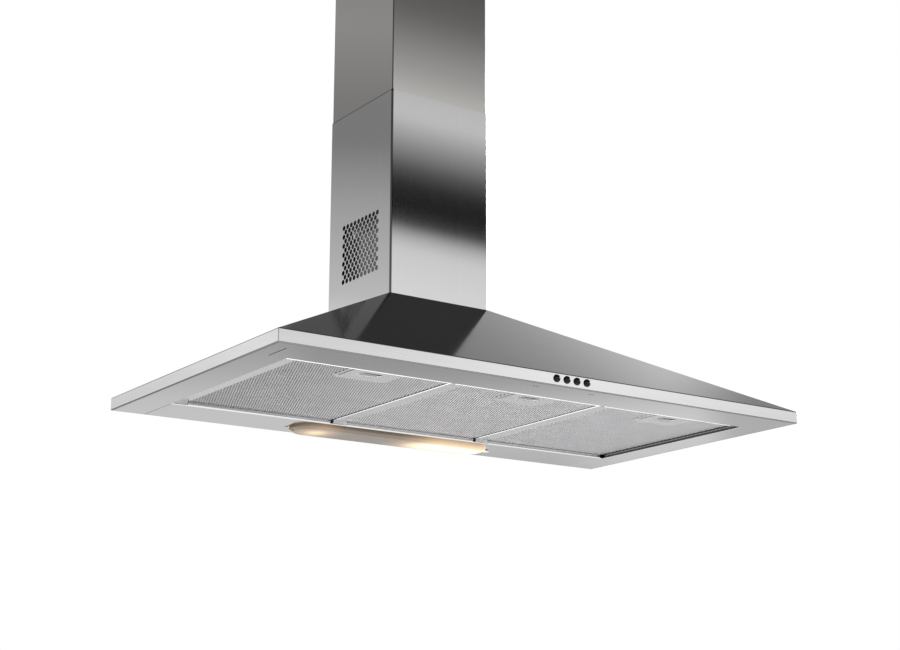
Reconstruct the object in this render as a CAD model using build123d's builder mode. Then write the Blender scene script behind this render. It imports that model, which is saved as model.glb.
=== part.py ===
from build123d import *
from math import atan, cos, radians, sin, tan
import os

os.makedirs("parts", exist_ok=True)

# Wall-hung chimney range hood. The frame stands on the wall plane: y = 0 is the wall, -Y points
# into the room, and the origin is the centre of the four wall holes in the rear panel.

# Canopy
hood_width = 900.0
hood_depth = 500.0
rim_height = 18.0
canopy_rise = 176.0
hang_height = 100.0  # wall holes' centre above the rim's lower edge
sheet = 1.0
bend = 1.5
return_flange = 10.0
rim_lip = 2.6  # the rim's lower edge folded in under the strips
rim_round = 1.4
fit = 0.3  # gap left where sheet parts seat in each other
wall_hole_radius = 4.25
wall_hole_spacing_x = 240.0
wall_hole_spacing_z = 80.0

# Chimney covers
chimney_width = 182.0
chimney_depth = 185.0
cover_sheet = 0.8
cover_gap = 0.5  # between the sliding upper cover and the lower one
cover_flange = 12.0
cover_wall_gap = 0.3
lower_cover_height = 331.0
upper_cover_length = 400.0
cover_overlap = 75.0
collar_height = 14.0

# Air vent punched in the left wall of the lower cover
vent_columns = 10
vent_rows = 7
vent_pitch_y = 11.14
vent_pitch_z = 15.04
vent_hole_radius = 3.9  # to the corners of each square hole
vent_height = 93.4  # vent centre above the cover's foot
vent_back = 95.4  # vent centre in front of the wall

# Underside
front_strip = 70.0
side_strip = 52.0
panel_depth = 93.0
panel_seam = 0.4
ledge_height = 5.7
side_flange_height = 14.0
underside_bend = 0.9
ledge_bend = 3.4  # outside radius of the light panel's ledge
slit_length = 46.0
slit_width = 1.6
slit_inset = 27.0  # slit from the left wall of the filter opening

# Grease filters
filter_count = 3
filter_gap = 1.0
filter_side_gap = 1.0
filter_front_gap = 1.8
filter_rear_lap = 7.0  # the filter's rear edge lies this far over the light panel
hook_width = 24.0  # hook at the filter's left rear corner, let into the light panel's ledge
hook_side_gap = 0.6
ledge_gap = 5.0  # open notch in the ledge beside each hook
filter_height = 9.0
filter_sheet = 0.8
filter_left_band = 25.0
filter_right_band = 3.0
filter_front_band = 19.0
filter_hem = 1.5  # radius of the hem along the front of the window
filter_edge_round = 3.2  # outside radius of the frame's two long lower edges
filter_rear_band = 9.0
core_clearance = 0.15

# Filter latch
latch_centre = 147.0  # from the filter's left edge
latch_pan_width = 84.0
latch_pan_depth = 72.0
latch_pan_drop = 1.0
latch_pan_round = 12.0
latch_sheet = 1.2
latch_reach = 4.6  # tongue beyond the filter's front edge
latch_tongue_width = 28.0
latch_width = 58.0
latch_length = 53.0
latch_start = 2.0
finger_slot_width = 42.0
finger_slot_depth = 22.0
finger_slot_start = 30.0
finger_lip_at = 44.5
finger_lip_width = 26.0
spring_leaf = 0.5
spring_width = 4.0

# Lamps and lens
lens_length = 356.0
lens_width = 66.0
lens_gap = 1.0
lens_drop = 6.5
lens_wall = 1.5
lens_rise = 5.0
lens_centre_y = -47.0
lens_hinge_reach = 4.0  # hinge pin beyond the lens's left end
lens_hinge_height = 2.8
lens_arm_width = 5.0
lens_arm_offset = 9.0
lens_pin_radius = 1.2
pin_clearance = 0.05
lug_sheet = 2.0
lamp_housing_sheet = 0.8
lamp_housing_length = 424.0
lamp_housing_width = 74.0
lamp_housing_height = 46.0
bulb_radius = 17.5
bulb_length = 76.0
bulb_height = 25.0
bulb_centre_x = 116.0
lamp_cap_radius = 7.0
lamp_cap_length = 16.0
holder_radius = 11.0
holder_length = 50.0

# Switches
button_count = 4
button_pitch = 17.7
button_radius = 5.2
button_height = 10.3
button_travel = 3.0
button_proud = 4.2
button_dome = 2.2
button_skirt = 12.0  # part of the button guided by the switch block
button_hole_gap = 0.4
switch_centre_x = 8.0
switch_length = 110.0
switch_depth = 27.0
switch_fixing_spacing = 98.0
switch_fixing_inset = 18.8
switch_full_height = 10.0  # the block reaches its full height this far behind its front
fixing_pair_gap = 5.0
fixing_hole_radius = 1.1

# Blower
shaft_height = 136.0
shaft_offset = 3.0  # shaft in front of the chimney's middle
blower_half_width = 62.0
blower_sheet = 1.5
scroll_start_radius = 62.0
scroll_growth = 20.0
scroll_start_angle = 140.0
outlet_margin = 7.5  # outlet box beyond the duct collar, front and rear
outlet_height = 340.0
inlet_radius = 48.0
impeller_radius = 55.0
impeller_inner_radius = 45.0
impeller_width = 88.0
impeller_ring = 2.0
blade_count = 24
blade_sweep = 0.62  # forward lean of a blade's tip, as a share of its depth
blade_sheet = 1.2
hub_radius = 10.0
hub_length = 26.0
shaft_radius = 4.0
motor_radius = 37.0
motor_length = 42.0
motor_gap = 12.0  # motor in front of the side plate
motor_arm_width = 12.0
duct_radius = 60.0
duct_wall = 2.0
duct_height = 44.0
flap_sheet = 1.2
flap_offset = 4.0
flap_height = 12.0
flap_rod_radius = 1.5
flap_gap = 0.8
bracket_sheet = 1.5
cradle_arm_height = 14.0
cradle_arm_length = 100.0
cradle_drop = 70.0

# Electrical box
box_width = 90.0
box_depth = 34.0
box_height = 46.0
box_wall = 2.0
box_offset = 60.0  # beyond the chimney's side
gland_radius = 9.0
gland_bore_radius = 4.0
capacitor_radius = 15.0
capacitor_length = 50.0
capacitor_z_offset = 26.0

# Fixings
screw_radius = 2.0
screw_head_radius = 3.6
screw_head_height = 2.0
screw_hole_gap = 0.2
bracket_height = 22.0
bracket_drop = 24.0  # bracket's top below the upper cover's top
bracket_ear = 34.0
bracket_hole_radius = 3.0
bracket_hole_spacing = 90.0

# Levels and planes worked out from the sizes above
rim_z = -hang_height
rim_top = rim_z + rim_height
canopy_top = rim_top + canopy_rise
front_y = -hood_depth
slope = atan(canopy_rise / (hood_depth - chimney_depth))
slope_ledge = sheet / sin(slope)
inner_fold_z = rim_top - sheet * (1 - sin(slope)) / cos(slope)
rear_gap = sheet + fit
opening_width = hood_width - 2 * side_strip
opening_front_y = front_y + front_strip
panel_front_y = -panel_depth
filter_width = (opening_width - 2 * filter_side_gap - (filter_count - 1) * filter_gap) / filter_count
filter_front_y = opening_front_y + filter_front_gap
filter_rear_y = panel_front_y + filter_rear_lap
filter_z = rim_z + ledge_height + fit
ledge_pivot_z = rim_z + ledge_height - sheet / 2
latch_z = filter_z + filter_sheet + 0.2
front_flange_height = latch_z - fit - rim_z
vent_z = canopy_top + vent_height
lower_cover_top = canopy_top + lower_cover_height
upper_cover_foot = lower_cover_top - cover_overlap
upper_cover_top = upper_cover_foot + upper_cover_length
upper_width = chimney_width - 2 * cover_sheet - 2 * cover_gap
upper_front_y = -chimney_depth + cover_sheet + cover_gap
upper_rear_y = -cover_wall_gap - cover_sheet - cover_gap
shaft_y = -chimney_depth / 2 - shaft_offset
outlet_half_depth = duct_radius + outlet_margin
shaft_z = rim_z + shaft_height
outlet_z = rim_z + outlet_height
flap_z = outlet_z + blower_sheet + flap_height
button_z = rim_z + button_height
cut = 5.0  # how far cutting tools run past a face


def save(piece, name):
    """Labels a finished piece and writes its STEP file."""
    piece.part.label = name
    export_step(piece.part, f"parts/{name}.step")


def area(x, y):
    """A rectangle between two x and two y values, in the running sketch."""
    with Locations(((x[0] + x[1]) / 2, (y[0] + y[1]) / 2)):
        Rectangle(x[1] - x[0], y[1] - y[0])


def area_cut(x, y):
    """The same rectangle taken away from the running sketch."""
    with Locations(((x[0] + x[1]) / 2, (y[0] + y[1]) / 2)):
        Rectangle(x[1] - x[0], y[1] - y[0], mode=Mode.SUBTRACT)


def half(width):
    return (-width / 2, width / 2)


def button_x(index):
    return switch_centre_x + (index - (button_count - 1) / 2) * button_pitch


def canopy_half_width(z):
    """Half the canopy's outer width at a height above the rim's fold."""
    share = (z - rim_top) / canopy_rise
    return (hood_width + share * (chimney_width - hood_width)) / 2


cradle_z = shaft_z - cradle_drop
cradle_points = [(x, cradle_z + cradle_arm_height / 2) for x in (-48.0, 48.0)]


def screw_spots(points):
    """Circles at (x, z) points behind the wall plane, for clearance holes along Y."""
    with BuildSketch(Plane.XZ.offset(-cut)) as spots:
        with Locations(*points):
            Circle(screw_radius + screw_hole_gap)
    return spots.sketch


def on_rim(point):
    """Whether a point lies on the rim's outer wall or on its two rounded corners."""
    corner = abs(point.X) > hood_width / 2 - bend and point.Y < front_y + bend
    return corner or abs(point.X) > hood_width / 2 - 0.01 or point.Y < front_y + 0.01


# Canopy shell: a rim with three sloping faces above it, folded from one sheet
with BuildPart() as canopy_shell:
    with BuildSketch(Plane.XY.offset(rim_z)):
        area(half(hood_width), (front_y, 0))
    extrude(amount=rim_height)
    with BuildSketch(Plane.XY.offset(rim_top)):
        area(half(hood_width), (front_y, 0))
    with BuildSketch(Plane.XY.offset(canopy_top)):
        area(half(chimney_width), (-chimney_depth, 0))
    loft(ruled=True)
    rim_corners = canopy_shell.edges().filter_by(Axis.Z).group_by(Axis.Y)[0]
    folds = canopy_shell.edges().filter_by_position(Axis.Z, rim_top - 0.01, rim_top + 0.01)
    hips = canopy_shell.edges().filter_by_position(
        Axis.Z, rim_top, canopy_top, inclusive=(False, False)
    ).filter_by_position(Axis.Y, front_y, -chimney_depth, inclusive=(False, False))
    fillet(rim_corners + folds.group_by(Axis.Y)[0] + folds.filter_by(Axis.Y) + hips, radius=bend)
    with BuildSketch(Plane.XY.offset(rim_z - cut)):
        area(half(hood_width - 2 * sheet), (front_y + sheet, cut))
    extrude(amount=inner_fold_z - rim_z + cut, mode=Mode.SUBTRACT)
    with BuildSketch(Plane.XY.offset(inner_fold_z)):
        area(half(hood_width - 2 * sheet), (front_y + sheet, cut))
    with BuildSketch(Plane.XY.offset(canopy_top)):
        area(half(chimney_width - 2 * slope_ledge), (-chimney_depth + slope_ledge, cut))
    loft(ruled=True, mode=Mode.SUBTRACT)
    with BuildSketch(Plane.XY.offset(canopy_top)):  # collar that the lower cover slips over
        collar_half = chimney_width / 2 - cover_sheet - fit
        collar_front = -chimney_depth + cover_sheet + fit
        area((-collar_half, collar_half), (collar_front, -rear_gap))
        area_cut((-collar_half + sheet, collar_half - sheet), (collar_front + sheet, cut))
    extrude(amount=collar_height)
    with BuildSketch(Plane.XY.offset(rim_z)):  # lower edge folded in, level with the strips
        area(half(hood_width - 2 * sheet), (front_y + sheet, -rear_gap))
        area_cut(half(hood_width - 2 * rim_lip), (front_y + rim_lip, cut))
    extrude(amount=sheet)
    lower_rim = canopy_shell.edges().filter_by_position(Axis.Z, rim_z - 0.01, rim_z + 0.01)
    fillet(ShapeList(e for e in lower_rim if on_rim(e.center())), radius=rim_round)
    with BuildSketch(Plane.XY.offset(rim_z + sheet + fit)):  # return flange round the rim
        area(half(hood_width - 2 * sheet), (front_y + sheet, -rear_gap))
        inner = hood_width - 2 * sheet - 2 * return_flange
        area_cut(half(inner), (front_y + sheet + return_flange, cut))
    extrude(amount=sheet)
    with BuildSketch(Plane.XZ.offset(hood_depth + cut)):  # holes for the push buttons
        with Locations(*[(button_x(i), button_z) for i in range(button_count)]):
            Circle(button_radius + button_hole_gap)
    extrude(amount=-(2 * cut), mode=Mode.SUBTRACT)
save(canopy_shell, "canopy_shell")

# Rear panel: the flat back that hangs on the wall
with BuildPart() as rear_panel:
    with BuildSketch(Plane.XZ):
        with BuildLine():
            low = hood_width / 2 - sheet - fit
            top_z = canopy_top - slope_ledge
            high = canopy_half_width(top_z) - slope_ledge - 2 * fit
            Polyline(
                (-low, rim_z), (low, rim_z), (low, inner_fold_z - fit), (high, top_z),
                (-high, top_z), (-low, inner_fold_z - fit), close=True,
            )
        make_face()
        with GridLocations(wall_hole_spacing_x, wall_hole_spacing_z, 2, 2):
            Circle(wall_hole_radius, mode=Mode.SUBTRACT)
    extrude(amount=sheet)
    extrude(screw_spots(cradle_points), amount=cut + hood_depth, mode=Mode.SUBTRACT)
save(rear_panel, "rear_panel")

# Bottom frame: the flat strips round the filters, with flanges folded up into the canopy
with BuildPart() as bottom_frame:
    strip_half = hood_width / 2 - rim_lip - fit
    strip_front = front_y + rim_lip + fit
    with BuildSketch(Plane.XY.offset(rim_z)):
        area((-strip_half, strip_half), (strip_front, -rear_gap))
        area_cut(half(opening_width), (opening_front_y, cut))
    extrude(amount=sheet)
    with BuildSketch(Plane.XY.offset(rim_z)):
        area(half(opening_width + 2 * sheet), (opening_front_y - sheet, opening_front_y))
    extrude(amount=front_flange_height)
    with BuildSketch(Plane.XY.offset(rim_z)):
        for side in (-1, 1):
            with Locations((side * (opening_width + sheet) / 2, (opening_front_y - rear_gap) / 2)):
                Rectangle(sheet, -rear_gap - opening_front_y)
    extrude(amount=side_flange_height)
    lower_edges = bottom_frame.edges().filter_by_position(Axis.Z, rim_z - 0.01, rim_z + 0.01)
    front_edge = lower_edges.filter_by(Axis.X).filter_by_position(
        Axis.Y, opening_front_y - 0.01, opening_front_y + 0.01
    )
    side_edges = lower_edges.filter_by(Axis.Y).filter_by_position(
        Axis.X, -opening_width / 2 - 0.01, opening_width / 2 + 0.01
    )
    fillet(front_edge + side_edges, radius=underside_bend)
    with BuildSketch(Plane.XY.offset(rim_z - cut)):
        with Locations((-opening_width / 2 - slit_inset, opening_front_y - slit_length / 2)):
            Rectangle(slit_width, slit_length)
        for side in (-1, 1):
            pair_x = switch_centre_x + side * switch_fixing_spacing / 2
            with Locations((pair_x, front_y + switch_fixing_inset)):
                with GridLocations(fixing_pair_gap, 0, 2, 1):
                    RegularPolygon(fixing_hole_radius, 6)
    extrude(amount=cut + sheet + 0.1, mode=Mode.SUBTRACT)
save(bottom_frame, "bottom_frame")

# Light panel: the strip behind the filters that carries the lens and the lamps
panel_half = opening_width / 2 - panel_seam
hinge_x = -lens_length / 2 - lens_hinge_reach
hinge_z = rim_z + lens_hinge_height
lug_y = lens_arm_offset + lens_arm_width / 2 + 0.5
with BuildPart() as light_panel:
    with BuildSketch(Plane.XY.offset(rim_z)):
        area((-panel_half, panel_half), (panel_front_y, -rear_gap))
        with Locations((0, lens_centre_y)):
            SlotOverall(lens_length + 2 * lens_gap, lens_width + 2 * lens_gap, mode=Mode.SUBTRACT)
        with Locations((hinge_x + 2, lens_centre_y)):  # notch that the lens's hinge arms swing in
            Rectangle(9, 2 * lens_arm_offset + lens_arm_width + 1, mode=Mode.SUBTRACT)
    extrude(amount=sheet)
    with BuildSketch(Plane.YZ.offset(-panel_half)):  # ledge with a rounded top, the filters' pivot
        area((panel_front_y, panel_front_y + sheet), (rim_z, ledge_pivot_z))
        with Locations((panel_front_y + sheet / 2, ledge_pivot_z)):
            Circle(sheet / 2)
    extrude(amount=2 * panel_half)
    ledge_edges = light_panel.edges().filter_by(Axis.X)
    inner_bend = ledge_edges.filter_by_position(
        Axis.Y, panel_front_y + sheet - 0.01, panel_front_y + sheet + 0.01
    ).filter_by_position(Axis.Z, rim_z + sheet - 0.01, rim_z + sheet + 0.01)
    fillet(inner_bend, radius=ledge_bend - sheet)
    ledge_edges = light_panel.edges().filter_by(Axis.X)
    fillet(ledge_edges.group_by(Axis.Y)[0].group_by(Axis.Z)[0], radius=ledge_bend)
    with BuildSketch(Plane.XY.offset(rim_z + sheet)):  # notches for the filters' hooks
        notch_y = (panel_front_y - cut, panel_front_y + ledge_bend + 0.1)
        for index in range(filter_count):
            hook_x = -opening_width / 2 + filter_side_gap + index * (filter_width + filter_gap)
            area((hook_x - ledge_gap, hook_x + hook_width + hook_side_gap), notch_y)
        area((panel_half - ledge_gap, panel_half + cut), notch_y)
    extrude(amount=ledge_height, mode=Mode.SUBTRACT)
    with BuildSketch(Plane.XY.offset(rim_z)):
        for side in (-1, 1):
            with Locations((side * (panel_half - sheet / 2), (filter_rear_y + 2 - rear_gap) / 2)):
                Rectangle(sheet, -rear_gap - filter_rear_y - 2)
    extrude(amount=side_flange_height)
    for side in (-1, 1):  # ears that carry the lens hinge pin
        ear_y = lens_centre_y + side * (lug_y + lug_sheet / 2)
        with BuildSketch(Plane.XZ.offset(-ear_y - lug_sheet / 2)):
            with BuildLine():
                Polyline(
                    (hinge_x - 7, rim_z + sheet), (hinge_x + 2, rim_z + sheet),
                    (hinge_x + 2, hinge_z + 3), (hinge_x - 3, hinge_z + 3), close=True,
                )
            make_face()
            with Locations((hinge_x, hinge_z)):
                Circle(lens_pin_radius + pin_clearance, mode=Mode.SUBTRACT)
        extrude(amount=lug_sheet)
save(light_panel, "light_panel")

# Lens: a translucent moulded cover with a stepped-down rim, hinged at its left end


def lens_ring(z, inset):
    """The lens's long rounded outline at a height, drawn in by inset."""
    with BuildSketch(Plane.XY.offset(z)) as ring:
        with Locations((0, lens_centre_y)):
            SlotOverall(lens_length - 2 * inset, lens_width - 2 * inset)
    return ring.sketch


lens_profile = [(lens_rise, 0.0), (-0.45 * lens_drop, 0.0), (-lens_drop, 6.0)]
with BuildPart() as lens_cover:
    for upper, lower in zip(lens_profile, lens_profile[1:]):
        loft([lens_ring(rim_z + upper[0], upper[1]), lens_ring(rim_z + lower[0], lower[1])], ruled=True)
    for upper, lower in zip(lens_profile, lens_profile[1:]):
        inner_lift = lens_wall if lower is lens_profile[-1] else lens_wall * 0.6
        first_lift = cut if upper is lens_profile[0] else lens_wall * 0.6
        loft(
            [lens_ring(rim_z + upper[0] + first_lift, upper[1] + lens_wall),
             lens_ring(rim_z + lower[0] + inner_lift, lower[1] + lens_wall)],
            ruled=True, mode=Mode.SUBTRACT,
        )
    for side in (-1, 1):  # hinge arms
        arm_y = lens_centre_y + side * lens_arm_offset
        with BuildSketch(Plane.XZ.offset(-arm_y - lens_arm_width / 2)):
            with BuildLine():
                wall_x = -lens_length / 2 + lens_wall
                Polyline(
                    (hinge_x - 1.6, hinge_z - 1.4), (hinge_x + 1.8, hinge_z - 1.4),
                    (wall_x - lens_wall / 2, rim_z + 1.6), (wall_x, rim_z + lens_rise),
                    (hinge_x, rim_z + lens_rise), (hinge_x - 1.6, hinge_z + 0.8), close=True,
                )
            make_face()
        extrude(amount=lens_arm_width)
    with BuildSketch(Plane.XZ.offset(-lens_centre_y - lug_y - lug_sheet + 0.3)):  # hinge pin
        with Locations((hinge_x, hinge_z)):
            Circle(lens_pin_radius)
    extrude(amount=2 * (lug_y + lug_sheet - 0.3))
    with BuildSketch(Plane.XY.offset(rim_z + sheet + fit)):  # snap hook at the right end
        hook_y = (lens_centre_y - 6, lens_centre_y + 6)
        area((lens_length / 2 - lens_wall, lens_length / 2 + lens_gap + 2), hook_y)
    extrude(amount=1.6)
    with BuildSketch(Plane.XY.offset(rim_z - lens_drop - 0.8)):  # tab that is pushed to open it
        with Locations((lens_length / 2 - 14, lens_centre_y)):
            SlotOverall(14, 7, rotation=90)
    extrude(amount=1.6)
save(lens_cover, "lens_cover")

# Lamp housing: a folded tray over the lens
housing_front = lens_centre_y - lamp_housing_width / 2
housing_rear = lens_centre_y + lamp_housing_width / 2
housing_z = rim_z + sheet + 0.2
with BuildPart() as lamp_housing:
    with BuildSketch(Plane.XY.offset(housing_z)):
        area(half(lamp_housing_length), (housing_front, housing_rear))
    extrude(amount=lamp_housing_height)
    upper_edges = lamp_housing.faces().sort_by(Axis.Z)[-1].edges()
    chamfer(upper_edges, length=8.0)
    offset(
        amount=-lamp_housing_sheet,
        openings=lamp_housing.faces().sort_by(Axis.Z)[0],
        kind=Kind.INTERSECTION,
    )
save(lamp_housing, "lamp_housing")

# Lamps: two candle bulbs lying along X, their screw caps in holders on the housing's end walls
bulb_z = rim_z + bulb_height
holder_face_x = lamp_housing_length / 2 - lamp_housing_sheet
for side, name in ((-1, "left"), (1, "right")):
    lamp_axis = Plane(origin=(side * bulb_centre_x, lens_centre_y, bulb_z), x_dir=(side, 0, 0),
                      z_dir=(0, -side, 0))
    with BuildPart() as lamp_bulb:
        with BuildSketch(lamp_axis):
            with BuildLine():
                cap_end = bulb_length / 2 + lamp_cap_length
                Polyline(
                    (-bulb_length / 2, 0), (-0.1 * bulb_length, bulb_radius),
                    (bulb_length / 2, lamp_cap_radius), (cap_end, lamp_cap_radius), (cap_end, 0),
                    close=True,
                )
            make_face()
        revolve(axis=Axis((side * bulb_centre_x, lens_centre_y, bulb_z), (1, 0, 0)))
    save(lamp_bulb, f"lamp_bulb_{name}")
    with BuildPart() as lamp_holder:
        cap_end = side * (bulb_centre_x + bulb_length / 2 + lamp_cap_length)
        face_x = side * (holder_face_x - 0.2)
        with BuildSketch(Plane.YZ.offset(face_x)):
            with Locations((lens_centre_y, bulb_z)):
                Circle(holder_radius)
        extrude(amount=-side * holder_length)
        with BuildSketch(Plane.YZ.offset(cap_end + side * 0.3)):
            with Locations((lens_centre_y, bulb_z)):
                Circle(lamp_cap_radius + 0.3)
        extrude(amount=-side * holder_length, mode=Mode.SUBTRACT)
    save(lamp_holder, f"lamp_holder_{name}")

# Grease filters: a folded channel frame, a pad of expanded mesh and a sprung latch
filter_names = ("left", "middle", "right")
for index, name in enumerate(filter_names):
    x0 = -opening_width / 2 + filter_side_gap + index * (filter_width + filter_gap)
    x1 = x0 + filter_width
    window_x = (x0 + filter_left_band, x1 - filter_right_band)
    window_y = (filter_front_y + filter_front_band, filter_rear_y - filter_rear_band)
    latch_x = x0 + latch_centre
    pan_x = (latch_x - latch_pan_width / 2, latch_x + latch_pan_width / 2)
    pan_rear_y = filter_front_y + latch_pan_depth
    cavity_z = filter_z + filter_sheet
    cavity_height = filter_height - 2 * filter_sheet

    with BuildPart() as filter_frame:
        with BuildSketch(Plane.XY.offset(filter_z)):
            area((x0, x1), (filter_front_y, filter_rear_y))
        extrude(amount=filter_height)
        fillet(filter_frame.edges().filter_by(Axis.Y).group_by(Axis.Z)[0], radius=filter_edge_round)
        with BuildSketch(Plane.XY.offset(filter_z - latch_pan_drop)) as pan:
            area(pan_x, (filter_front_y, pan_rear_y))
            fillet(pan.vertices().group_by(Axis.Y)[-1], radius=latch_pan_round)
        extrude(amount=latch_pan_drop)
        with BuildSketch(Plane.XZ.offset(-filter_front_y - filter_sheet)) as cavity:
            area((x0 + filter_sheet, x1 - filter_sheet), (cavity_z, cavity_z + cavity_height))
            fillet(cavity.vertices().group_by(Axis.Y)[0], radius=filter_edge_round - filter_sheet)
        extrude(amount=-(filter_rear_y - filter_front_y - 2 * filter_sheet), mode=Mode.SUBTRACT)
        for hem_x in ((window_x[0], pan_x[0]), (pan_x[1], window_x[1])):  # hems in front of the window
            with BuildSketch(Plane.YZ.offset(hem_x[0])):
                hem_y = window_y[0] - 0.9 * filter_hem
                with Locations((hem_y, cavity_z)):
                    Circle(filter_hem)
                area_cut((hem_y - 2 * filter_hem, hem_y + 2 * filter_hem),
                         (cavity_z, cavity_z + 2 * filter_hem))
            extrude(amount=hem_x[1] - hem_x[0])
        with BuildSketch(Plane.XY.offset(filter_z - cut)) as window:
            area(window_x, window_y)
            area_cut(pan_x, (filter_front_y, pan_rear_y))
            inner_corners = window.vertices().filter_by_position(
                Axis.Y, pan_rear_y - 0.01, pan_rear_y + 0.01
            )
            fillet(inner_corners, radius=latch_pan_round)
        extrude(amount=filter_height + 2 * cut, mode=Mode.SUBTRACT)
        with BuildSketch(Plane.XY.offset(filter_z - cut)):  # finger slot
            with Locations((latch_x, filter_front_y + finger_slot_start + finger_slot_depth / 2)):
                SlotOverall(finger_slot_width, finger_slot_depth)
        extrude(amount=cut + filter_sheet + 0.1, mode=Mode.SUBTRACT)
        with BuildSketch(Plane.XZ.offset(-filter_front_y + cut)):  # way out for the tongue
            with Locations((latch_x, latch_z + latch_sheet / 2)):
                Rectangle(latch_tongue_width + 0.8, latch_sheet + 0.4)
        extrude(amount=-(cut + filter_sheet + 0.1), mode=Mode.SUBTRACT)
        with BuildSketch(Plane.XY.offset(cavity_z)):  # stop that the spring pushes against
            area((latch_x - latch_width / 2, latch_x + latch_width / 2),
                 (pan_rear_y - filter_sheet, pan_rear_y))
        extrude(amount=cavity_height)
        with BuildSketch(Plane.XY.offset(rim_z + sheet + fit)):  # hook in the panel's ledge
            area((x0, x0 + hook_width), (panel_front_y, panel_front_y + filter_sheet))
        extrude(amount=cavity_z - rim_z - sheet - fit)
    save(filter_frame, f"filter_{name}_frame")

    with BuildPart() as filter_core:
        with BuildSketch(Plane.XY.offset(cavity_z + core_clearance)):
            edge = filter_sheet + core_clearance
            area((x0 + edge, x1 - edge), (filter_front_y + edge, filter_rear_y - edge))
            area_cut((pan_x[0] - 1, pan_x[1] + 1), (filter_front_y, pan_rear_y + 1))
        extrude(amount=cavity_height - 2 * core_clearance)
        long_edges = filter_core.edges().filter_by(Axis.Y).group_by(Axis.Z)[0].group_by(Axis.X)
        fillet(long_edges[0] + long_edges[-1],
               radius=filter_edge_round - filter_sheet - core_clearance)
    save(filter_core, f"filter_{name}_core")

    with BuildPart() as filter_latch:
        plate_front = filter_front_y + latch_start
        lip_y = filter_front_y + finger_lip_at
        with BuildSketch(Plane.XY.offset(latch_z)):
            area((latch_x - latch_width / 2, latch_x + latch_width / 2),
                 (plate_front, plate_front + latch_length))
            area((latch_x - latch_tongue_width / 2, latch_x + latch_tongue_width / 2),
                 (filter_front_y - latch_reach, plate_front))
            area_cut(
                (latch_x - finger_slot_width / 2 + 2, latch_x + finger_slot_width / 2 - 2),
                (filter_front_y + finger_slot_start - 1, lip_y),
            )
        extrude(amount=latch_sheet)
        with BuildSketch(Plane.XY.offset(filter_z - latch_pan_drop + 0.3)):
            area((latch_x - finger_lip_width / 2, latch_x + finger_lip_width / 2),
                 (lip_y, lip_y + latch_sheet))
        extrude(amount=latch_z + latch_sheet - filter_z + latch_pan_drop - 0.3)
    save(filter_latch, f"filter_{name}_latch")

    with BuildPart() as filter_spring:  # bowed leaf over the rear of the latch plate
        leaf_front = plate_front + latch_length + 0.3
        leaf_rear = pan_rear_y - filter_sheet - 0.1
        with BuildSketch(Plane.XY.offset(latch_z + latch_sheet + 0.2)):
            with BuildLine():
                reach = latch_width / 2 - 6
                ThreePointArc((latch_x - reach, leaf_rear), (latch_x, leaf_front),
                              (latch_x + reach, leaf_rear))
                Line((latch_x + reach, leaf_rear), (latch_x + reach - 3, leaf_rear))
                ThreePointArc((latch_x + reach - 3, leaf_rear), (latch_x, leaf_front + spring_leaf),
                              (latch_x - reach + 3, leaf_rear))
                Line((latch_x - reach + 3, leaf_rear), (latch_x - reach, leaf_rear))
            make_face()
        extrude(amount=spring_width)
    save(filter_spring, f"filter_{name}_spring")

# Switch block behind the fascia, with one guide bore for each button
block_front = front_y + sheet + fit
block_z = (rim_z + 2 * sheet + 2 * fit, inner_fold_z - fit)
block_roof = block_z[1] + (switch_full_height + fit) * tan(slope)
with BuildPart() as switch_block:
    with BuildSketch(Plane.YZ.offset(switch_centre_x - switch_length / 2)):
        with BuildLine():
            Polyline(
                (block_front, block_z[0]), (block_front + switch_depth, block_z[0]),
                (block_front + switch_depth, block_roof), (block_front + switch_full_height, block_roof),
                (block_front, block_z[1]), close=True,
            )
        make_face()
    extrude(amount=switch_length)
    with BuildSketch(Plane.XZ.offset(-block_front + cut)):
        with Locations(*[(button_x(i), button_z) for i in range(button_count)]):
            Circle(button_radius + pin_clearance)
    extrude(amount=-(cut + button_skirt + button_travel + 0.5), mode=Mode.SUBTRACT)
save(switch_block, "switch_block")

for index in range(button_count):
    with BuildPart() as button:
        face_y = front_y - button_proud
        skirt_y = block_front + button_skirt
        with BuildSketch(Plane(origin=(button_x(index), 0, button_z), x_dir=(1, 0, 0),
                               z_dir=(0, 0, 1))):
            with BuildLine():
                Polyline(
                    (0, face_y), (button_radius * 0.72, face_y + button_dome * 0.45),
                    (button_radius, face_y + button_dome), (button_radius, skirt_y),
                    (0, skirt_y), close=True,
                )
            make_face()
        revolve(axis=Axis((button_x(index), 0, button_z), (0, 1, 0)))
    save(button, f"button_{index + 1}")

# Blower scroll: an Archimedean wrap round the fan that opens into an upright outlet box


def scroll_point(angle, inset=0.0):
    """A point of the wrap: its radius grows evenly with the angle from the tongue."""
    turned = (angle - scroll_start_angle) / (360 - scroll_start_angle)
    radius = scroll_start_radius + scroll_growth * turned - inset
    return (shaft_y + radius * cos(radians(angle)), shaft_z + radius * sin(radians(angle)))


def scroll_outline(inset):
    """The blower's profile in the YZ plane, drawn in by inset."""
    turns = [scroll_point(a, inset) for a in range(int(scroll_start_angle), 361, 20)]
    front = shaft_y - outlet_half_depth + inset
    rear = shaft_y + outlet_half_depth - inset
    neck_z = shaft_z + scroll_start_radius
    top = outlet_z + (cut if inset else 0)
    Spline(*turns)
    Polyline(turns[-1], (rear, neck_z), (rear, top), (front, top), (front, neck_z + 4), turns[0])


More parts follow.
